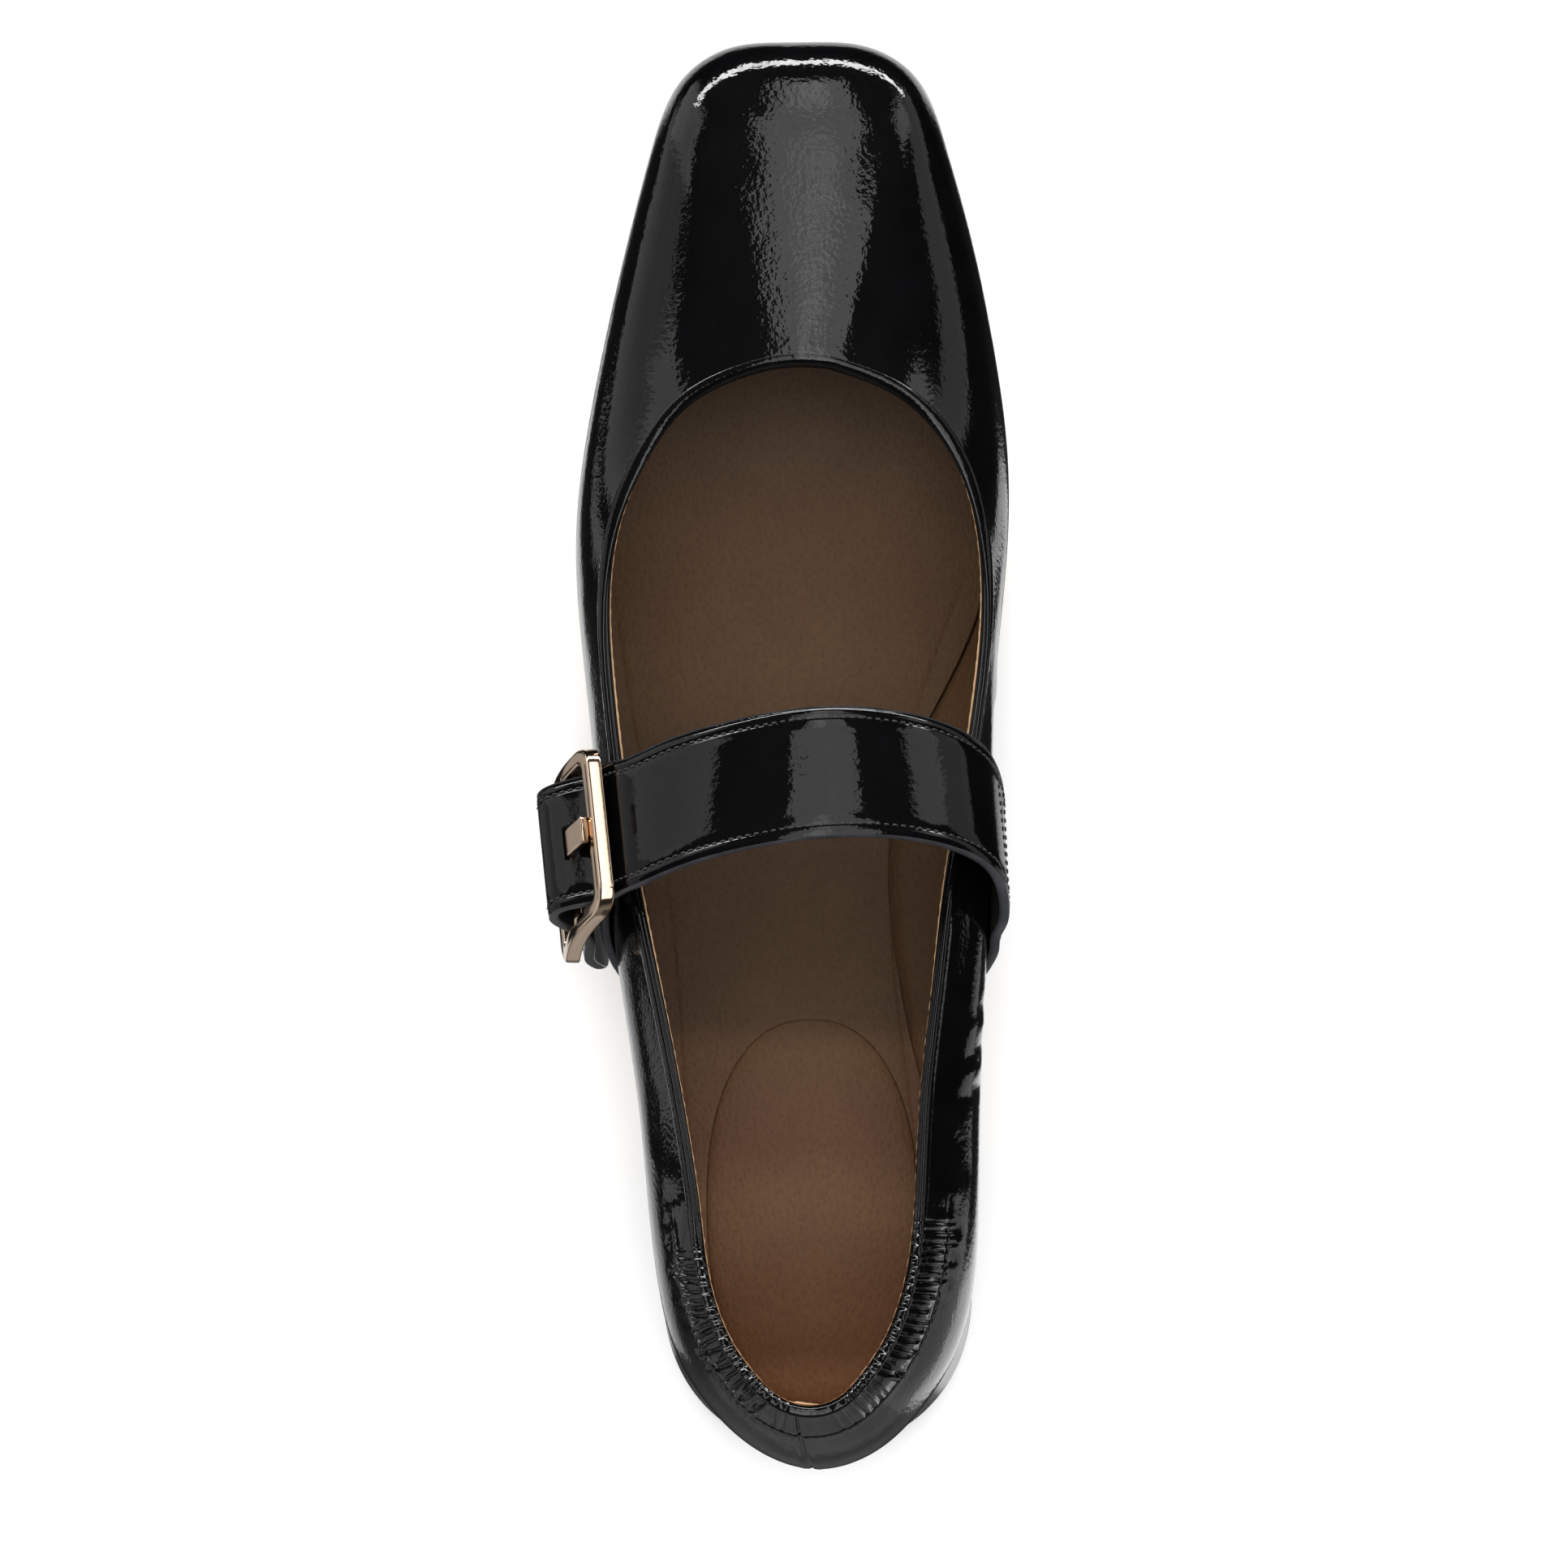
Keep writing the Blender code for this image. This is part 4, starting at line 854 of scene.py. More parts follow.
def build_topline():
    """Leather folded over the topline: even at the sides, puffed and rippled round the heel."""
    us = places((BACK_U, FRONT_U, 620), (FRONT_U, BACK_U + 1.0, 380), closed=True)
    top, n, lead = topline_frame(us)
    s = top_run(us)
    heel = 1 - step(np.abs(s), 38.0, 50.0)
    bead = heel * step(np.abs(s), 6.0, 9.0)
    wave = np.sin(2 * np.pi * s / 0.95 + 1.6 * np.sin(0.55 * s) + 1.1 * np.sin(1.7 * s))
    wave = wave * (0.6 + 0.4 * np.sin(0.9 * s))
    rows = np.array(BINDING)
    n_at = rows[None, :, 0] * (1 - heel[:, None]) + rows[None, :, 2] * heel[:, None]
    l_at = rows[None, :, 1] * (1 - heel[:, None]) + rows[None, :, 3] * heel[:, None]
    n_at = n_at + (bead * wave * 0.06)[:, None] * (rows[None, :, 1] > -0.4)
    l_at = l_at + (bead * wave * 0.09)[:, None] * (rows[None, :, 1] > -0.4)
    dip = sum(deep * bell(s - at, 0.5) for at, deep, *_ in FOLDS)[:, None]
    n_at = n_at - 0.30 * dip * (rows[None, :, 0] > -0.3)
    l_at = l_at - 0.45 * dip * (rows[None, :, 0] > -1.2) * (rows[None, :, 1] > -0.4)
    swell = COLLAR_STEP * heel[:, None] * (rows[None, :, 0] > -0.2) * 0.8
    swell = swell - rim_roll(top[:, 1:2], np.maximum(-rows[None, :, 1], 0)) * (rows[None, :, 0] > -0.9)
    ring = top[:, None] + n[:, None] * (n_at + swell)[..., None] + lead[:, None] * l_at[..., None]
    loft("topline_binding", ring, PATENT, close_rows=True, slot="patent_black")


def build_lining_edge():
    """Raw edge of the lining just inside the fold; at the back it stands a little higher."""
    us = np.linspace(0, 1, 700, endpoint=False)
    top, n, lead = topline_frame(us)
    s = top_run(us)
    centre = bell(s + 1.3, 2.7)
    rag = 0.05 * np.sin(s * 1.9) + 0.04 * np.sin(s * 4.3 + 1.0)
    show = 0.24 * (0.1 + 0.9 * step(np.abs(s + 1.3), 5.0, 16.0)) + 0.40 * centre + 0.6 * rag
    show = show + 0.20 * step(top[:, 1], 84.0, 112.0) * (1 - step(top[:, 1], 144.0, 172.0))
    high = -0.42 + 0.50 * centre + rag
    ring = []
    for a, b in ((0.0, -1.0), (0.0, -0.12), (0.12, 0.0), (0.85, 0.0), (1.0, -0.12), (1.0, -1.0)):
        ring.append(top - n * (1.90 + a * show)[:, None] + lead * (high + b)[:, None])
    loft("lining_edge", np.stack(ring, axis=1), RAW_EDGE, close_rows=True, slot="footbed_brown")


def down_share(us, down):
    """Where each wall line reaches a given distance below the topline."""
    grid = np.linspace(0.3, 1.0, 141)
    u, v = np.meshgrid(us, grid, indexing="ij")
    p = wall_point(u, v)
    far = np.linalg.norm(p - p[:, -1:], axis=-1)
    return np.array([np.interp(down, row[::-1], grid[::-1]) for row in far])


def wall_line(us, down):
    """Line on the upper's outer face at a distance below the topline, and its normals."""
    v = down_share(us, down)
    p, n = wall_point(us, v), wall_normal(us, v)
    top = wall_point(us, np.ones_like(us))
    return p + n * wall_relief(us, p, top)[:, None], n


def build_upper_stitches():
    us = np.linspace(BACK_U, FRONT_U, 260)
    us = us[np.abs(top_run(us)) < 45]
    line, n = wall_line(us, COLLAR_BAND + 0.75)
    stitches("collar_stitches", line, n, 1.75, 1.15, 0.17, THREAD, "patent_black", sink=0.1)


# ---------------------------------------------------------------- footbed, sole, heel


def edge_distance(outline, x, y):
    """Distance from points to the nearest point of a plan outline."""
    line = np.asarray(outline, float)
    found = np.empty(x.size)
    xs, ys = x.ravel(), y.ravel()
    for i in range(0, x.size, 2000):
        d = np.hypot(xs[i:i + 2000, None] - line[None, :, 0], ys[i:i + 2000, None] - line[None, :, 1])
        found[i:i + 2000] = d.min(axis=1)
    return found.reshape(x.shape)


def rounded(distance, radius):
    """Drop of a face near its edge, as a quarter circle."""
    d = np.clip(distance, 0, radius)
    return radius - np.sqrt(np.maximum(radius ** 2 - (radius - d) ** 2, 0))


def slab(name, outline, ys, low, high, cols_low, cols_high, radius_low, radius_high, look,
         above=None, **more):
    """Plate between two heights with rounded rims; low and high are functions of x, y.

    above is the upper face's own outline where it differs from the lower one's."""

    def face(plan, rows, count, height, radius, sign):
        lat, med = sides_at(plan, rows)
        q = np.linspace(0.0, 1.0, count)
        if count < 12:
            q = 0.5 - 0.5 * np.cos(np.pi * q)
        q = np.clip(q, 0.012, 0.988)
        x = lat[:, None] + q[None] * (med - lat)[:, None]
        y = np.broadcast_to(rows[:, None], x.shape)
        rim = np.stack([lat, rows, height(lat, rows)], -1), np.stack([med, rows, height(med, rows)], -1)
        return np.stack([x, y, height(x, y) + sign * rounded(edge_distance(plan, x, y), radius)], -1), rim

    plan = outline if above is None else above
    share = (ys - outline[:, 1].min()) / np.ptp(outline[:, 1])
    rows = ys if above is None else plan[:, 1].min() + share * np.ptp(plan[:, 1])
    bottom, rim_low = face(outline, ys, cols_low, low, radius_low, 1)
    top, rim_high = face(plan, rows, cols_high, high, radius_high, -1)
    sides = [[(rim_low[i] * (1 - t) + rim_high[i] * t)[:, None] for t in (0.25, 0.75)] for i in (0, 1)]
    rings = np.concatenate([bottom] + sides[1] + [top[:, ::-1]] + sides[0][::-1], axis=1)
    return loft(name, rings, look, **more)


def inner_outline(rise, room):
    """Closed plan line of the upper's inner face at a height over the feather plane, less some room."""
    us = np.linspace(0, 1, 1200, endpoint=False)
    u, v = np.meshgrid(us, np.linspace(0.0, 0.35, 71), indexing="ij")
    p, n = wall_point(u, v), wall_normal(u, v)
    p = p - (WALL + room) * n
    high = p[..., 2] - sole_top(p[..., 1]) - GAP
    at = np.argmax(high >= rise, axis=1)
    line = p[np.arange(len(us)), at, :2]
    blur = np.exp(-0.5 * (np.arange(-12, 13) / 5.0) ** 2)
    blur /= blur.sum()
    wrapped = np.vstack([line[-12:], line, line[:12]])
    return np.stack([np.convolve(c, blur, "valid") for c in wrapped.T], axis=1)


# Edge of the footbed's cover, felt as a soft crease a little inside the wall: x and y from the heel's back.
COVER_EDGE = ((-40.0, 186.0), (-37.6, 168.0), (-36.0, 156.0), (-33.6, 140.0), (-30.4, 125.0), (-27.8, 111.0),
              (-25.9, 91.0), (-24.6, 67.7), (-22.4, 46.0), (-20.4, 32.0), (-16.6, 22.6), (-10.5, 16.2),
              (-2.0, 13.0), (6.7, 16.0), (12.9, 23.5), (16.8, 36.0), (18.9, 50.0), (19.2, 58.5), (17.6, 75.7),
              (15.6, 95.0), (15.4, 112.0), (17.4, 128.0), (21.1, 144.0), (26.0, 157.5), (31.2, 170.5),
              (36.0, 185.9))


def build_footbed():
    """Insole with its cover: slightly dished, with the felt edge of the cover along both sides."""
    edge = feather(WALL + 0.55)
    ys = sole_rows(edge[:, 1].min() + 0.15, edge[:, 1].max() - 0.1, 260, "both")
    lat, med = sides_at(edge, ys)
    crease = open_spline(np.array(COVER_EDGE), np.linspace(0, 1, 500))
    left, right = sides_at(crease, ys)

    def top(x, y):
        share = np.interp(y, ys, 0.5 * (med - lat))
        mid = np.interp(y, ys, 0.5 * (med + lat))
        q = (x - mid) / np.maximum(share, 1.0)
        dish = 0.10 * (1 - np.minimum(q ** 2, 1.0)) - 0.05 * np.sin(0.11 * y) * np.cos(0.16 * x)
        over = np.maximum(np.interp(y, ys, left) - x, x - np.interp(y, ys, right))
        near = edge_distance(crease, x, y)
        fade = 1 - step(y, 156.0, 174.0)
        cover = 0.30 * step(over, 0.2, 3.5) * fade - 0.34 * bell(near, 0.42) * fade
        return sole_top(y) + GAP + INSOLE_THICK - dish + cover

    def under(x, y):
        return sole_top(y) + GAP

    slab("footbed", edge, ys, under, top, 8, 150, 0.4, 0.16, FOOTBED, above=inner_outline(INSOLE_THICK, 0.06),
         slot="footbed_brown", replaces=("insole",))


def build_heel_pad():
    """Soft oval under the heel: its leather is drawn down to a pressed edge."""
    centre_x, centre_y, half_wide, half_long, power = -0.8, 49.0, 20.0, 36.2, 2.3
    hoops = np.concatenate([np.linspace(0.04, 0.86, 16), np.linspace(0.88, 1.0, 12)])
    ang = np.linspace(0, 2 * np.pi, 150, endpoint=False)
    x0, y0 = superellipse(ang, power)
    pts = []
    for r in hoops:
        x, y = centre_x + half_wide * r * x0, centre_y + half_long * r * y0
        base = sole_top(y) + GAP + INSOLE_THICK - 0.02
        crown = PAD_THICK * (1 - 0.25 * r ** 2 - 0.75 * r ** 22)
        pts.append(np.stack([x, y, base + crown + 0.02], -1))
    x, y = centre_x + half_wide * 0.995 * x0, centre_y + half_long * 0.995 * y0
    pts.append(np.stack([x, y, sole_top(y) + GAP + INSOLE_THICK - 0.12], -1))
    rings = np.array(pts)
    rows, cols = rings.shape[:2]
    faces = tube_faces(rows, cols)
    points = rings.reshape(-1, 3)
    points = np.vstack([points, [rings[0].mean(axis=0)]])
    hub = len(points) - 1
    faces += [(hub, (j + 1) % cols, j) for j in range(cols)]
    faces.append([(rows - 1) * cols + j for j in range(cols)])
    pad = piece("footbed_heel_pad", points, faces, FOOTBED, slot="footbed_brown", replaces=("heel_pad",))


RIB_PITCH, RIB_FIRST, RIB_LAST = 2.34, 156.3, 262.3
RIB_BORDER = 10.5  # plain leather between the ribs and the sole's edge
RIBS_HEEL_END = (178.0, 23.5)  # where the ribbed field begins to round off, and over what length
RIBS_TOE_END = (246.0, 18.5)


def round_end(past, length):
    """Share of the full width, falling as a quarter circle past the place where a field rounds off."""
    return np.sqrt(np.clip(1 - (np.maximum(past, 0) / length) ** 2, 0, 1))


def build_outsole():
    """Leather sole with fine ribs across the tread inside a plain border."""
    edge = feather(0.0)
    ribbed = places((BREAST_Y + 0.15, RIB_FIRST - 2, 60), (RIB_FIRST - 2, RIB_LAST + 1, 440), closed=True)
    ys = np.concatenate([ribbed, sole_rows(RIB_LAST + 1, 269.45, 16, "toe")])
    lat, med = sides_at(edge, ys)

    def bottom(x, y):
        phase = np.mod((y - RIB_FIRST) / RIB_PITCH + 0.5, 1.0) - 0.5
        groove = bell(phase * RIB_PITCH - 0.05, 0.20) + 0.30 * bell(phase * RIB_PITCH + 0.40, 0.42)
        row = RIB_FIRST + np.round((y - RIB_FIRST) / RIB_PITCH) * RIB_PITCH
        left = np.interp(row, ys, lat)
        right = np.interp(row, ys, med)
        heel_end = round_end(RIBS_HEEL_END[0] - row, RIBS_HEEL_END[1])
        toe_end = round_end(row - RIBS_TOE_END[0], RIBS_TOE_END[1])
        mid = 0.5 * (left + right)
        half = (0.5 * (right - left) - RIB_BORDER) * heel_end * (0.35 + 0.65 * toe_end)
        inside = 1 - step(np.abs(x - mid), half - 1.6, half)
        inside = inside * (row > RIB_FIRST - 0.5) * (row < RIB_LAST + 0.5)
        return sole_top(y) - sole_thick(y) + 0.52 * groove * inside

    def top(x, y):
        return sole_top(y) + 0 * x

    slab("outsole_tread", edge, ys, bottom, top, 54, 5, 1.1, 0.3, OUTSOLE, slot="outsole_beige",
         replaces=("outsole",))


def lift_outline(count):
    """D-shaped heel outline from the outer breast corner round the back to the inner one."""
    a = LIFT_HALF_WIDTH
    x, y = superellipse(np.linspace(np.pi, 2 * np.pi, 400), 2.2)
    back = np.stack([a * x, LIFT_BACK_Y + LIFT_ROUND_LONG + LIFT_ROUND_LONG * y], axis=1)
    corners = [(a, BREAST_Y - 8), (a, BREAST_Y)]
    return resample(np.concatenate([[(-x, y) for x, y in corners[::-1]], back, corners]), count)


def resample(line, count):
    run = run_along(line)
    return read_along(line, run, np.linspace(0, run[-1], count))


def rounded_front(line, radius, steps=8):
    """The outline with its two breast corners rounded."""
    turns = np.linspace(0.5 * np.pi, 0, steps)
    inward, back = radius * (1 - np.cos(turns)), radius * (1 - np.sin(turns))
    left = np.column_stack([line[0, 0] + inward, line[0, 1] - back])
    right = np.column_stack([line[-1, 0] - inward, line[-1, 1] - back])
    return np.vstack([left, line[line[:, 1] < line[0, 1] - radius - 0.2], right[::-1]])


def build_heel():
    """Covered block from the feather plane down to the top lift, a little waisted."""
    count = 190
    edge = feather(0.0)
    loop = np.roll(edge, -int(np.argmin(edge[:, 1])), 0)
    toe = int(np.argmax(loop[:, 1]))
    front = BREAST_Y - 0.15
    med = [p for p in loop[:toe] if p[1] < front]
    lat = [p for p in loop[toe:] if p[1] < front]
    ends = sides_at(edge, np.array([front]))
    line = np.vstack([[(ends[0][0], front)], lat, med, [(ends[1][0], front)]])
    upper = resample(line, count)
    lower = lift_outline(count)
    lower[:, 1] = np.minimum(lower[:, 1], BREAST_Y - 1.0)
    rings = []
    levels = np.concatenate([(0.0, 0.004, 0.012, 0.025), np.linspace(0.06, 0.94, 22),
                             (0.975, 0.988, 0.996, 1.0)])
    for t in levels:
        waist = -0.5 * math.sin(math.pi * t)
        plan = upper * (1 - t) + lower * t
        away = unit(plan - np.array((0.0, 36.0)))
        end = min(t, 1 - t) * 25.0
        plan = plan + away * (waist - 0.5 * float(rounded(np.array(end), 0.6)) / 0.6)
        plan = resample(rounded_front(plan, HEEL_CORNER), count)
        z = sole_top(plan[:, 1]) * (1 - t) + (LIFT_THICK + GAP) * t
        rings.append(np.column_stack([plan, z]))
    loft("heel_cover", rings, HEEL, slot="heel_black", replaces=("heel_block",))


def build_lift():
    """Top lift: ribbed face inside a plain border."""
    line = rounded_front(lift_outline(900), HEEL_CORNER, 20)
    line[:, 1] = np.minimum(line[:, 1], BREAST_Y - 1.0)
    front_y = float(line[:, 1].max())
    across = np.linspace(line[-1, 0], line[0, 0], 240)[1:-1]
    closed = np.vstack([line, np.column_stack([across, np.full(len(across), front_y)])])
    ys = places((LIFT_BACK_Y + 0.02, 8.0, 33), (8.0, front_y - 0.03, 400))
    ys[:12] = LIFT_BACK_Y + 0.02 + (ys[12] - LIFT_BACK_Y - 0.02) * np.linspace(0, 1, 13)[:12] ** 2

    def bottom(x, y):
        inside = step(edge_distance(closed, x, y), LIFT_BORDER, LIFT_BORDER + 0.4)
        rib = 0.5 + 0.5 * np.cos(2 * np.pi * (y - 3.0) / LIFT_RIB_PITCH)
        return 0.02 + inside * (0.10 + 0.36 * rib)

    def top(x, y):
        return LIFT_THICK - 0.05 + 0 * x

    slab("lift_tread", closed, ys, bottom, top, 60, 6, 0.55, 0.3, LIFT, slot="lift_rubber",
         replaces=("top_lift",))


# ---------------------------------------------------------------- strap, base, elastic


def across_shares(width, seam):
    """Places across a strip, close together at its edges and near the seams beside them."""
    half = [0.0, 0.12, 0.3, 0.6, 1.0]
    half += [seam + m for m in (-0.55, -0.3, -0.1, 0.1, 0.3, 0.55)]
    last = max(half)
    half += [last + (0.5 * width - last) * k / 6 for k in range(1, 6)]
    half = np.array(sorted(half))
    half = half[np.append(True, np.diff(half) > 0.05)]
    return np.concatenate([half, [0.5 * width], (width - half)[::-1]]) / width


def leg_sheet(side, rows, q, lift):
    """Strip sewn to the wall: rows of points at a stand-off from the upper."""
    sheet = []
    for share, rear, front in rows:
        u = side_u(side, rear + (front - rear) * q)
        v = np.full(len(q), share)
        sheet.append(wall_point(u, v) + lift * wall_normal(u, v))
    return np.array(sheet)


def leg_rows(table, count):
    share, rear, front = np.array(table).T
    at = np.linspace(share[0], share[-1], count)
    return list(zip(at, np.interp(at, share, rear), np.interp(at, share, front)))


def buckle_axes():
    a = Vector(BUCKLE_ALONG).normalized()
    b = Vector(BUCKLE_DOWN)
    b = (b - a * a.dot(b)).normalized()
    return np.array(a), np.array(b), np.array(a.cross(b))


def buckle_point(along, down, out):
    a, b, c = buckle_axes()
    return np.array(BUCKLE_AT) + along * a + down * b + out * c


def buckle_bow(down):
    return BUCKLE_BOW * math.sin(math.pi * min(max(down / BUCKLE_DROP, 0.0), 1.0))


def strap_sheet(steps, q):
    """Middle surface of the strap, from the sole edge over the instep to its free end."""
    a = buckle_axes()[0]
    rows = list(leg_sheet("med", leg_rows(STRAP_LEG, 8), q, GAP + 0.15 + 0.5 * STRAP_THICK))
    ends = [(np.array(r[:3]), np.array(r[3:])) for r in STRAP_ROWS]
    for down, out, half in STRAP_IN_BUCKLE:
        ends.append((buckle_point(-half, down, out), buckle_point(half, down, out)))
    for x, y, z, half in STRAP_END_ROWS:
        mid = np.array((x, y, z))
        ends.append((mid - half * a, mid + half * a))
    rows += [rear * (1 - q[:, None]) + front * q[:, None] for rear, front in ends]
    line = open_spline(np.array(rows).reshape(len(rows), -1), np.linspace(0, 1, steps))
    return line.reshape(steps, len(q), 3)


def strip(name, sheet, q, thick, replaces):
    """Leather strip as wide as the strap, with painted edges and a stitch channel near each edge."""
    normals = sheet_normals(sheet)
    edge = np.minimum(q, 1 - q) * STRAP_WIDE
    lift = -0.30 * bell(edge, 0.45) - 0.16 * bell(edge - STITCH_INSET, 0.32)
    rings = strip_rings(sheet, normals, thick, lift, 0.38)
    rows, cols = rings.shape[:2]
    obj = loft(name, rings, [STRAP_SKIN, EDGE_PAINT, STRAP_BACK], slot="patent_black", replaces=replaces)
    count = len(q)
    j = np.arange(len(obj.data.polygons)) % cols
    mark = np.where((j >= count - 1) & (j < count + 5), 1, 0)
    mark = np.where((j >= count + 5) & (j < 2 * count + 4), 2, mark)
    mark = np.where(j >= 2 * count + 4, 1, mark)
    mark[(rows - 1) * cols:] = 1
    obj.data.polygons.foreach_set("material_index", mark.astype(np.int32))
    return obj, normals


def side_line(sheet, normals, q, thick, rear):
    """Line of stitches beside one edge of a strip, on its outer face."""
    at = STITCH_INSET / STRAP_WIDE if rear else 1 - STITCH_INSET / STRAP_WIDE
    line = np.array([[np.interp(at, q, row[:, i]) for i in range(3)] for row in sheet])
    up = np.array([[np.interp(at, q, row[:, i]) for i in range(3)] for row in normals])
    return line + unit(up) * (0.5 * thick - 0.14), up


def apply_cutters(obj, cutters):
    """Cuts the shapes out of a piece, keeps the cut's rims sharp and removes the shapes."""
    for cutter in cutters:
        how = obj.modifiers.new(cutter.name, "BOOLEAN")
        how.operation = "DIFFERENCE"
        how.solver = "EXACT"
        how.object = cutter
    graph = bpy.context.evaluated_depsgraph_get()
    mesh = bpy.data.meshes.new_from_object(obj.evaluated_get(graph))
    obj.modifiers.clear()
    obj.data = mesh
    mesh.set_sharp_from_angle(angle=math.radians(CUT_RIM_ANGLE))
    for cutter in cutters:
        bpy.data.objects.remove(cutter, do_unlink=True)


def slot_cutter(name, centre, along, across, up):
    """Rounded slot through the strap."""
    turns = np.linspace(-0.5 * np.pi, 0.5 * np.pi, 9)
    r, reach, deep = 0.5 * SLOT_WIDE, 0.5 * (SLOT_LONG - SLOT_WIDE), STRAP_THICK + 0.5
    plan = [(reach + r * math.cos(t), r * math.sin(t)) for t in turns]
    plan += [(-reach - r * math.cos(t), -r * math.sin(t)) for t in turns]
    rings = [[centre + across * x + along * y + up * z for x, y in plan] for z in (-deep, deep)]
    return loft(name, rings, STRAP_BACK)


def build_strap():
    """Instep strap with its punched slots, the opening for the prong and its stitches."""
    q = across_shares(STRAP_WIDE, STITCH_INSET)
    sheet = strap_sheet(300, q)
    strap, normals = strip("strap_body", sheet, q, STRAP_THICK, ("strap",))
    cutters = []
    prong = prong_sheet(0.5 * PRONG_WIDE + 0.35, 20, 0.30, 7)
    cutters.append(loft("cut_prong", strip_rings(prong, sheet_normals(prong), PRONG_THICK + 0.7), EDGE_PAINT))
    mid = len(q) // 2
    for k, row in enumerate(slot_places(sheet[:, mid])):
        up, centre = normals[row, mid], sheet[row, mid]
        along = unit(sheet[row + 1, mid] - sheet[row - 1, mid])
        cutters.append(slot_cutter(f"cut_slot_{k}", centre, along, np.cross(up, along), up))
    apply_cutters(strap, cutters)
    for side, rear in (("rear", True), ("front", False)):
        line, up = side_line(sheet[STITCHED_ROWS], normals[STITCHED_ROWS], q, STRAP_THICK, rear)
        stitches(f"strap_stitches_{side}", line, up, STITCH_PITCH, STITCH_LONG, 0.22, THREAD, "patent_black")
    # Rows that hold the inner leg to the wall, low on the side.
    for name, at in (("low", 70), ("high", 78)):
        row = sheet[at, 4:-4] + normals[at, 4:-4] * (0.5 * STRAP_THICK - 0.02)
        stitches(f"leg_stitches_{name}", row, normals[at, 4:-4], STITCH_PITCH, STITCH_LONG, 0.2, THREAD,
                 "patent_black")


def slot_places(line):
    """Rows of the strap that carry a punched slot: one on each side of the fastened one."""
    x = np.where(line[:, 0] < 0, line[:, 0], 99.0)
    high = line[:, 2] > 45
    first = int(np.argmin(np.abs(np.where(high, x, 99.0) - SLOT_X)))
    run = run_along(line)
    second = int(np.argmin(np.abs(run - run[first] - SLOT_APART)))
    return first, second


def build_base():
    """Short leather strip on the outer side that holds the webbing of the buckle."""
    q = across_shares(STRAP_WIDE, STITCH_INSET)
    rows = leg_rows(BASE_LEG, 26)
    far = leg_sheet("lat", rows, q, GAP + 0.1 + 0.5 * BASE_THICK)
    normals = strip("strap_base_body", far, q, BASE_THICK, ("strap_base",))[1]
    for side, rear in (("rear", True), ("front", False)):
        # This sheet's normals point at the shoe, so the stitches go on its other face.
        line, up = side_line(far, normals, q, BASE_THICK, rear)
        line = line - 2 * up * (0.5 * BASE_THICK - 0.14)
        stitches(f"base_stitches_{side}", line, -up, STITCH_PITCH, STITCH_LONG, 0.2, THREAD, "patent_black")


def build_elastic():
    """Webbing from under the strap base's upper end to the buckle's centre bar."""
    rows = ((0.47, 108.0, 128.6), (0.535, 108.6, 128.9), (0.60, 109.6, 129.6))
    low = leg_sheet("lat", rows, np.array((0.0, 1.0)), GAP + 0.5 * ELASTIC_THICK + 0.3)
    ends = [np.concatenate([e[0], e[1]]) for e in low]
    for down, out, half in ((15.2, -1.9, 12.0), (12.6, -0.1, 12.3), (10.4, 0.25, 12.3)):
        ends.append(np.concatenate([buckle_point(-half, down, out), buckle_point(half, down, out)]))
    line = open_spline(np.array(ends), np.linspace(0, 1, 70))
    q = np.linspace(0, 1, 121)
    sheet = line[:, None, 0:3] * (1 - q[None, :, None]) + line[:, None, 3:6] * q[None, :, None]
    normals = sheet_normals(sheet)
    ribs = 0.12 * np.sin(2 * np.pi * q * ELASTIC_RIBS) * step(np.minimum(q, 1 - q), 0.0, 0.02)
    rings = strip_rings(sheet, normals, ELASTIC_THICK, ribs, 0.2)
    run = run_along(sheet[:, 60]) * MM
    round_q = np.concatenate([q, np.ones(5), q[::-1], np.zeros(5)]) * ELASTIC_RIBS * MM
    uv = np.stack(np.meshgrid(run, round_q, indexing="ij")[::-1], -1).reshape(-1, 2)
    loft("elastic_web", rings, WEBBING, slot="elastic_black", replaces=("elastic",), uv=uv)


# ---------------------------------------------------------------- buckle


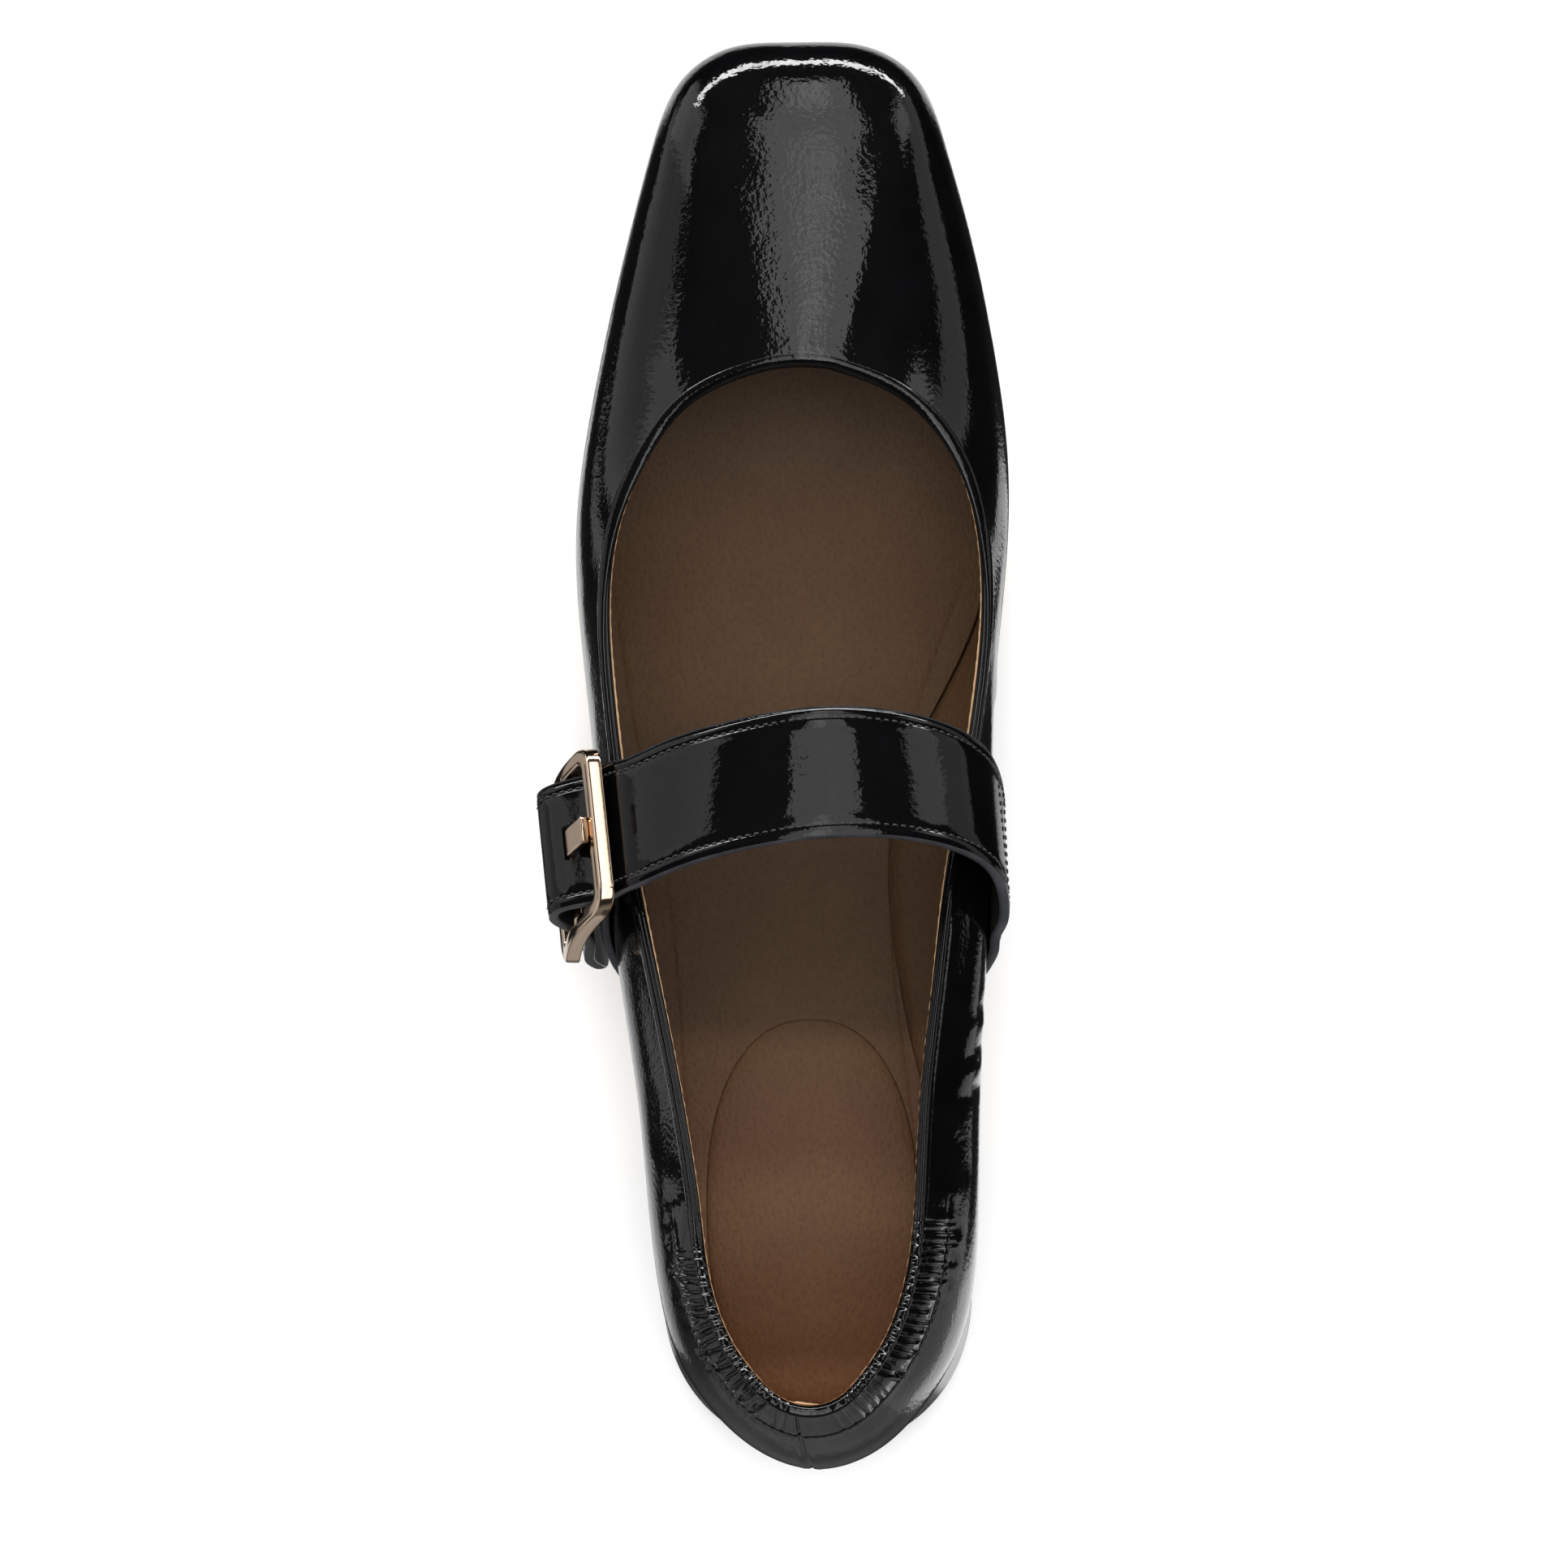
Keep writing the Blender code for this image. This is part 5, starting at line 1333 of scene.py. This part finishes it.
def build_buckle():
    """Frame: a rounded rectangle of flat bar, bowed over the strap."""
    half, drop, r = BUCKLE_HALF, BUCKLE_DROP, BUCKLE_CORNER
    corners = ((half - r, r, -90), (half - r, drop - r, 0), (-half + r, drop - r, 90), (-half + r, r, 180))
    path = []
    for x, y, start in corners:
        for t in np.radians(start + np.linspace(0, 90, 15)):
            path.append((x + r * math.cos(t), y + r * math.sin(t), math.cos(t), math.sin(t)))
    full = []
    for i, p in enumerate(path):
        full.append(p)
        n = path[(i + 1) % len(path)]
        if math.hypot(n[0] - p[0], n[1] - p[1]) > 6:
            for t in np.linspace(0, 1, 26)[1:-1]:
                full.append(tuple(p[j] * (1 - t) + n[j] * t for j in range(4)))
    rings = []
    for along, down, nx, ny in full:
        wide = BAR_WIDE * ny * ny + SIDE_WIDE * nx * nx
        w, h, e = 0.5 * wide, 0.5 * BAR_THICK, 0.5
        section = []
        for sx, sz, start in ((1, 1, 0), (-1, 1, 90), (-1, -1, 180), (1, -1, 270)):
            for t in np.radians(start + np.linspace(0, 90, 6)):
                section.append((sx * (w - e) + e * math.cos(t), sz * (h - e) + e * math.sin(t)))
            if (sx, sz) in ((1, 1), (-1, -1)):
                section += [(x, sz * h) for x in np.linspace(sx * (w - e), -sx * (w - e), 5)[1:-1]]
        ring = []
        for dx, dz in section:
            if dx > 0 > ny:
                dx -= NEAR_BAR_SLANT * (dz + h) * ny * ny
            at = down + dx * ny
            crown = 0.10 * (1 - (dx / w) ** 2) * (1 if dz > 0 else 0)
            ring.append(buckle_point(along + dx * nx, at, buckle_bow(at) + dz + crown))
        rings.append(ring)
    loft("buckle_ring", rings, GOLD, close_rows=True, slot="rose_gold", replaces=("buckle_frame",))


def build_centre_bar():
    """Bar that the tongue and the webbing turn on."""
    length, rings = BUCKLE_HALF - 0.4, []
    for at in np.linspace(-length, length, 24):
        ring = []
        for t in np.linspace(0, 2 * np.pi, 20, endpoint=False):
            ring.append(buckle_point(at, CENTRE_BAR_DOWN + CENTRE_BAR_RADIUS * math.cos(t),
                                     CENTRE_BAR_OUT + CENTRE_BAR_RADIUS * math.sin(t)))
        rings.append(ring)
    loft("buckle_centre_bar", rings, GOLD, slot="rose_gold")


def prong_sheet(half, steps, first, cols=5):
    """Flat tongue hooked over the centre bar, its tip close to the upper bar."""
    bow = CENTRE_BAR_OUT
    reach = CENTRE_BAR_RADIUS + 0.3 + 0.5 * PRONG_THICK
    line = [(CENTRE_BAR_DOWN + reach * math.sin(t), bow + reach * math.cos(t))
            for t in np.radians((92, 70, 45, 20, -10))]
    line += [(8.6, bow + 1.75), (6.4, bow + 1.35), (4.2, bow + 0.9), (2.4, bow + 0.5), (0.9, bow + 0.3)]
    line = open_spline(np.array(line), np.linspace(first, 1, steps))
    across = np.linspace(-half, half, cols)
    return np.array([[buckle_point(along, down, out) for along in across] for down, out in line])


def build_prong():
    sheet = prong_sheet(0.42 * PRONG_WIDE, 90, 0.0, 25)
    middle = sheet[:, 12:13]
    tip = np.sqrt(np.clip(1 - np.clip((np.arange(90) - 84) / 6.0, 0, 1) ** 2 * 0.35, 0, 1))
    sheet = middle + (sheet - middle) * tip[:, None, None]
    q = np.linspace(-1, 1, 25)
    rings = strip_rings(sheet, sheet_normals(sheet), PRONG_THICK, -0.35 * np.abs(q) ** 6, 0.4)
    loft("buckle_tongue", rings, GOLD, slot="rose_gold", replaces=("buckle_prong",))


def build_ornament():
    """Plain bright bar on the strap's free end, its edges and corners rounded."""
    sheet = strap_sheet(160, np.linspace(0, 1, 5))
    row = int(np.argmin(np.abs(sheet[:, 2, 2] - BAR_HIGH) + 100 * (sheet[:, 2, 0] > 0)))
    n = sheet_normals(sheet)[row, 2]
    along = unit(sheet[row + 1, 2] - sheet[row - 1, 2])
    across = np.cross(n, along)
    centre = sheet[row, 2] + n * (0.5 * STRAP_THICK + GAP + BAR_HALF_THICK)
    wide, high = superellipse(np.linspace(0, 2 * np.pi, 32, endpoint=False), 2 / 0.45)
    rings = []
    for x in np.linspace(-1, 1, 41):
        shrink = max((1 - abs(x) ** 10) ** 0.2, 0.3)
        ring = np.outer(wide * BAR_HALF_WIDE * shrink, along) + np.outer(high * BAR_HALF_THICK * shrink, n)
        rings.append(centre + across * BAR_HALF_LONG * x + ring)
    loft("strap_bar", rings, GOLD, slot="rose_gold", replaces=("strap_ornament",))


build_upper()
build_lining()
build_topline()
build_lining_edge()
build_upper_stitches()
build_footbed()
build_heel_pad()
build_outsole()
build_heel()
build_lift()
build_strap()
build_base()
build_elastic()
build_buckle()
build_centre_bar()
build_prong()
build_ornament()


# ---------------------------------------------------------------- stage, light, camera


FLOOR_HALF = 3.0  # metres
FLOOR_GAP = 0.0002


def shoe_place(x, y, z):
    return Vector(((x + SHIFT_X) * MM, (y + SHIFT_Y) * MM, z * MM))


def build_floor():
    """Plain pale floor just under the shoe. Reflections don't see it: they see the patches below."""
    mesh = bpy.data.meshes.new("floor")
    corners = [(x * FLOOR_HALF, y * FLOOR_HALF, 0) for x, y in ((-1, -1), (1, -1), (1, 1), (-1, 1))]
    mesh.from_pydata(corners, [], [(0, 1, 2, 3)])
    floor = bpy.data.objects.new("floor", mesh)
    floor.location.z = -FLOOR_GAP
    bpy.context.scene.collection.objects.link(floor)
    g = Graph("floor_pale")
    g.set(Base_Color=(0.93, 0.93, 0.93, 1.0), Roughness=0.6, Specular_IOR_Level=0.2)
    mesh.materials.append(g.made)
    floor.visible_glossy = False


# Patches of brightness that only reflections see, by direction: across = angle about the shoe's length
# from overhead, turn = compass angle from the toe towards the inner side, rise = angle above the horizon,
# ahead = sine of the angle towards the toe. Each limit fades over its softness; the last number is the
# brightness. They aren't lamps, and some lie below the horizon. They are fitted so that the highlights
# seen from above lie where the photographed shoe has them, and mean nothing from elsewhere.
PATCHES = (
    (("across", -5.0, 18.0, 0.3), ("ahead", 0.632, 0.868, 0.008), 1.60),
    (("across", -11.0, 20.5, 0.3), ("ahead", 0.575, 0.635, 0.005), 1.60),
    (("across", -7.4, 15.3, 0.3), ("ahead", 0.445, 0.578, 0.005), 1.60),
    (("across", -7.6, 21.5, 0.3), ("ahead", -0.30, 0.448, 0.008), 1.60),
    (("across", -1.5, 9.0, 5.0), ("ahead", -0.30, 0.440, 0.020), 2.90),
    (("across", -1.5, 9.0, 5.0), ("ahead", 0.440, 0.565, 0.020), 2.45),
    (("across", -1.5, 9.0, 5.0), ("ahead", 0.645, 0.868, 0.020), 2.60),
    (("turn", -125.0, -56.0, 5.0), ("rise", -32.0, 27.0, 1.0), 0.48),
    (("turn", -88.0, -75.8, 0.8), ("rise", -50.0, -20.0, 1.5), 0.32),
    (("turn", -66.0, -40.0, 3.0), ("rise", -20.0, 33.0, 1.0), 0.98),
    (("turn", 41.0, 58.0, 2.0), ("rise", 12.0, 34.0, 1.5), 1.25),
    (("turn", 42.0, 125.0, 8.0), ("rise", -8.0, 20.0, 2.0), 0.54),
    (("turn", -43.0, -13.0, 1.2), ("rise", 8.0, 14.5, 0.6), 16.0),
    (("turn", -13.0, -4.0, 1.2), ("rise", 5.0, 12.5, 0.6), 16.0),
    (("turn", -4.0, 22.0, 1.2), ("rise", 1.5, 10.0, 0.6), 16.0),
    (("turn", 22.0, 43.0, 1.2), ("rise", -0.5, 6.0, 0.6), 16.0),
    (("ahead", -2.0, -0.36, 0.10), ("rise", -48.0, -20.0, 5.0), 0.34),
    (("ahead", -2.0, -0.25, 0.25), ("rise", -80.0, 40.0, 12.0), 0.16),
    (("turn", 98.5, 133.0, 3.0), ("rise", -120.0, -44.0, 4.0), 1.15),
    (("turn", 97.0, 136.0, 4.0), ("rise", -48.0, -18.0, 5.0), 0.50),
    (("turn", 89.3, 99.0, 1.5), ("rise", -46.0, -25.0, 3.0), 0.62),
    (("turn", 80.5, 86.0, 1.5), ("rise", -120.0, -55.5, 2.0), 0.75),
    (("turn", 85.5, 100.0, 1.5), ("rise", -120.0, -73.0, 2.0), 0.85),
    (("turn", -118.0, -95.0, 2.0), ("rise", -120.0, -57.0, 6.0), 0.62),
    (("turn", -97.5, -92.6, 0.8), ("rise", -47.0, -30.0, 1.2), 0.34),
    (("turn", -120.0, -66.0, 4.0), ("rise", -120.0, -70.0, 2.0), 0.75),
    (("turn", -60.0, 60.0, 6.0), ("rise", -120.0, -46.0, 5.0), 0.9),
)
DARK_TONE = 0.012
# Diffuse light: a smooth gradient, strongest from overhead and a little ahead.
LIGHT_AIM = (0.0, 0.44, 0.90)
ROOM_LOW = 0.62
ROOM_HIGH = 3.4


def build_world():
    g = Graph("studio", world=True)
    bpy.context.scene.world = g.made
    x, y, z = g.axis("X"), g.axis("Y"), g.axis("Z")
    sight = {
        "across": g.math("DEGREES", g.math("ARCTAN2", x, z)),
        "turn": g.math("DEGREES", g.math("ARCTAN2", x, y)),
        "rise": g.math("DEGREES", g.math("ARCSINE", z)),
        "ahead": y,
    }

    def window(kind, low, high, soft):
        """One between two limits and nought beyond them, with soft edges."""
        up = g.node("ShaderNodeMapRange", set_interpolation_type="SMOOTHSTEP", Value=sight[kind],
                    From_Min=low - soft, From_Max=low + soft).outputs[0]
        down = g.node("ShaderNodeMapRange", set_interpolation_type="SMOOTHSTEP", Value=sight[kind],
                      From_Min=high - soft, From_Max=high + soft, To_Min=1.0, To_Max=0.0).outputs[0]
        return g.math("MULTIPLY", up, down)

    total = DARK_TONE
    for one, two, tone in PATCHES:
        patch = g.math("MULTIPLY", g.math("MULTIPLY", window(*one), window(*two)), tone)
        total = g.math("MAXIMUM", patch, total)
    broad = g.node("ShaderNodeTexNoise", Vector=g.place, Scale=2.6, Detail=1.0).outputs["Fac"]
    fine = g.node("ShaderNodeTexNoise", Vector=g.place, Scale=17.0, Detail=3.0).outputs["Fac"]
    total = g.math("MULTIPLY", total, g.grey(broad, 0.72, 1.28))
    total = g.math("MULTIPLY", total, g.grey(fine, 0.82, 1.18))
    facing = g.node("ShaderNodeVectorMath", set_operation="DOT_PRODUCT", i0=g.place, i1=LIGHT_AIM)
    room = g.node("ShaderNodeMapRange", set_interpolation_type="SMOOTHSTEP", Value=facing.outputs["Value"],
                  From_Min=0.40, From_Max=1.0, To_Min=ROOM_LOW, To_Max=ROOM_HIGH).outputs[0]
    ray = g.tree.nodes.new("ShaderNodeLightPath")
    seen = g.mix("MIX", ray.outputs["Is Glossy Ray"], room, total)
    seen = g.mix("MIX", ray.outputs["Is Camera Ray"], seen, (1.0, 1.0, 1.0))
    g.set(Color=seen, Strength=1.0)


build_world()
build_floor()

SENSOR = 36.0
CAMERA_HIGH = 1600.0  # above the middle of the view, millimetres
VIEW_CENTRE = (-5.0, 129.8, 25.0)
VIEW_WIDE = 296.8  # what the frame takes in there
VIEW_ROLL = 0.84  # degrees
camera = bpy.data.cameras.new("camera")
camera.sensor_width = SENSOR
camera.lens = SENSOR * CAMERA_HIGH / VIEW_WIDE
camera.clip_start, camera.clip_end = 0.05, 20.0
eye = bpy.data.objects.new("camera", camera)
bpy.context.scene.collection.objects.link(eye)
eye.location = shoe_place(*VIEW_CENTRE[:2], VIEW_CENTRE[2] + CAMERA_HIGH)
eye.rotation_euler = (0.0, 0.0, -math.radians(VIEW_ROLL))
bpy.context.scene.camera = eye
bpy.context.scene.view_settings.view_transform = "Standard"
bpy.context.scene.view_settings.look = "None"
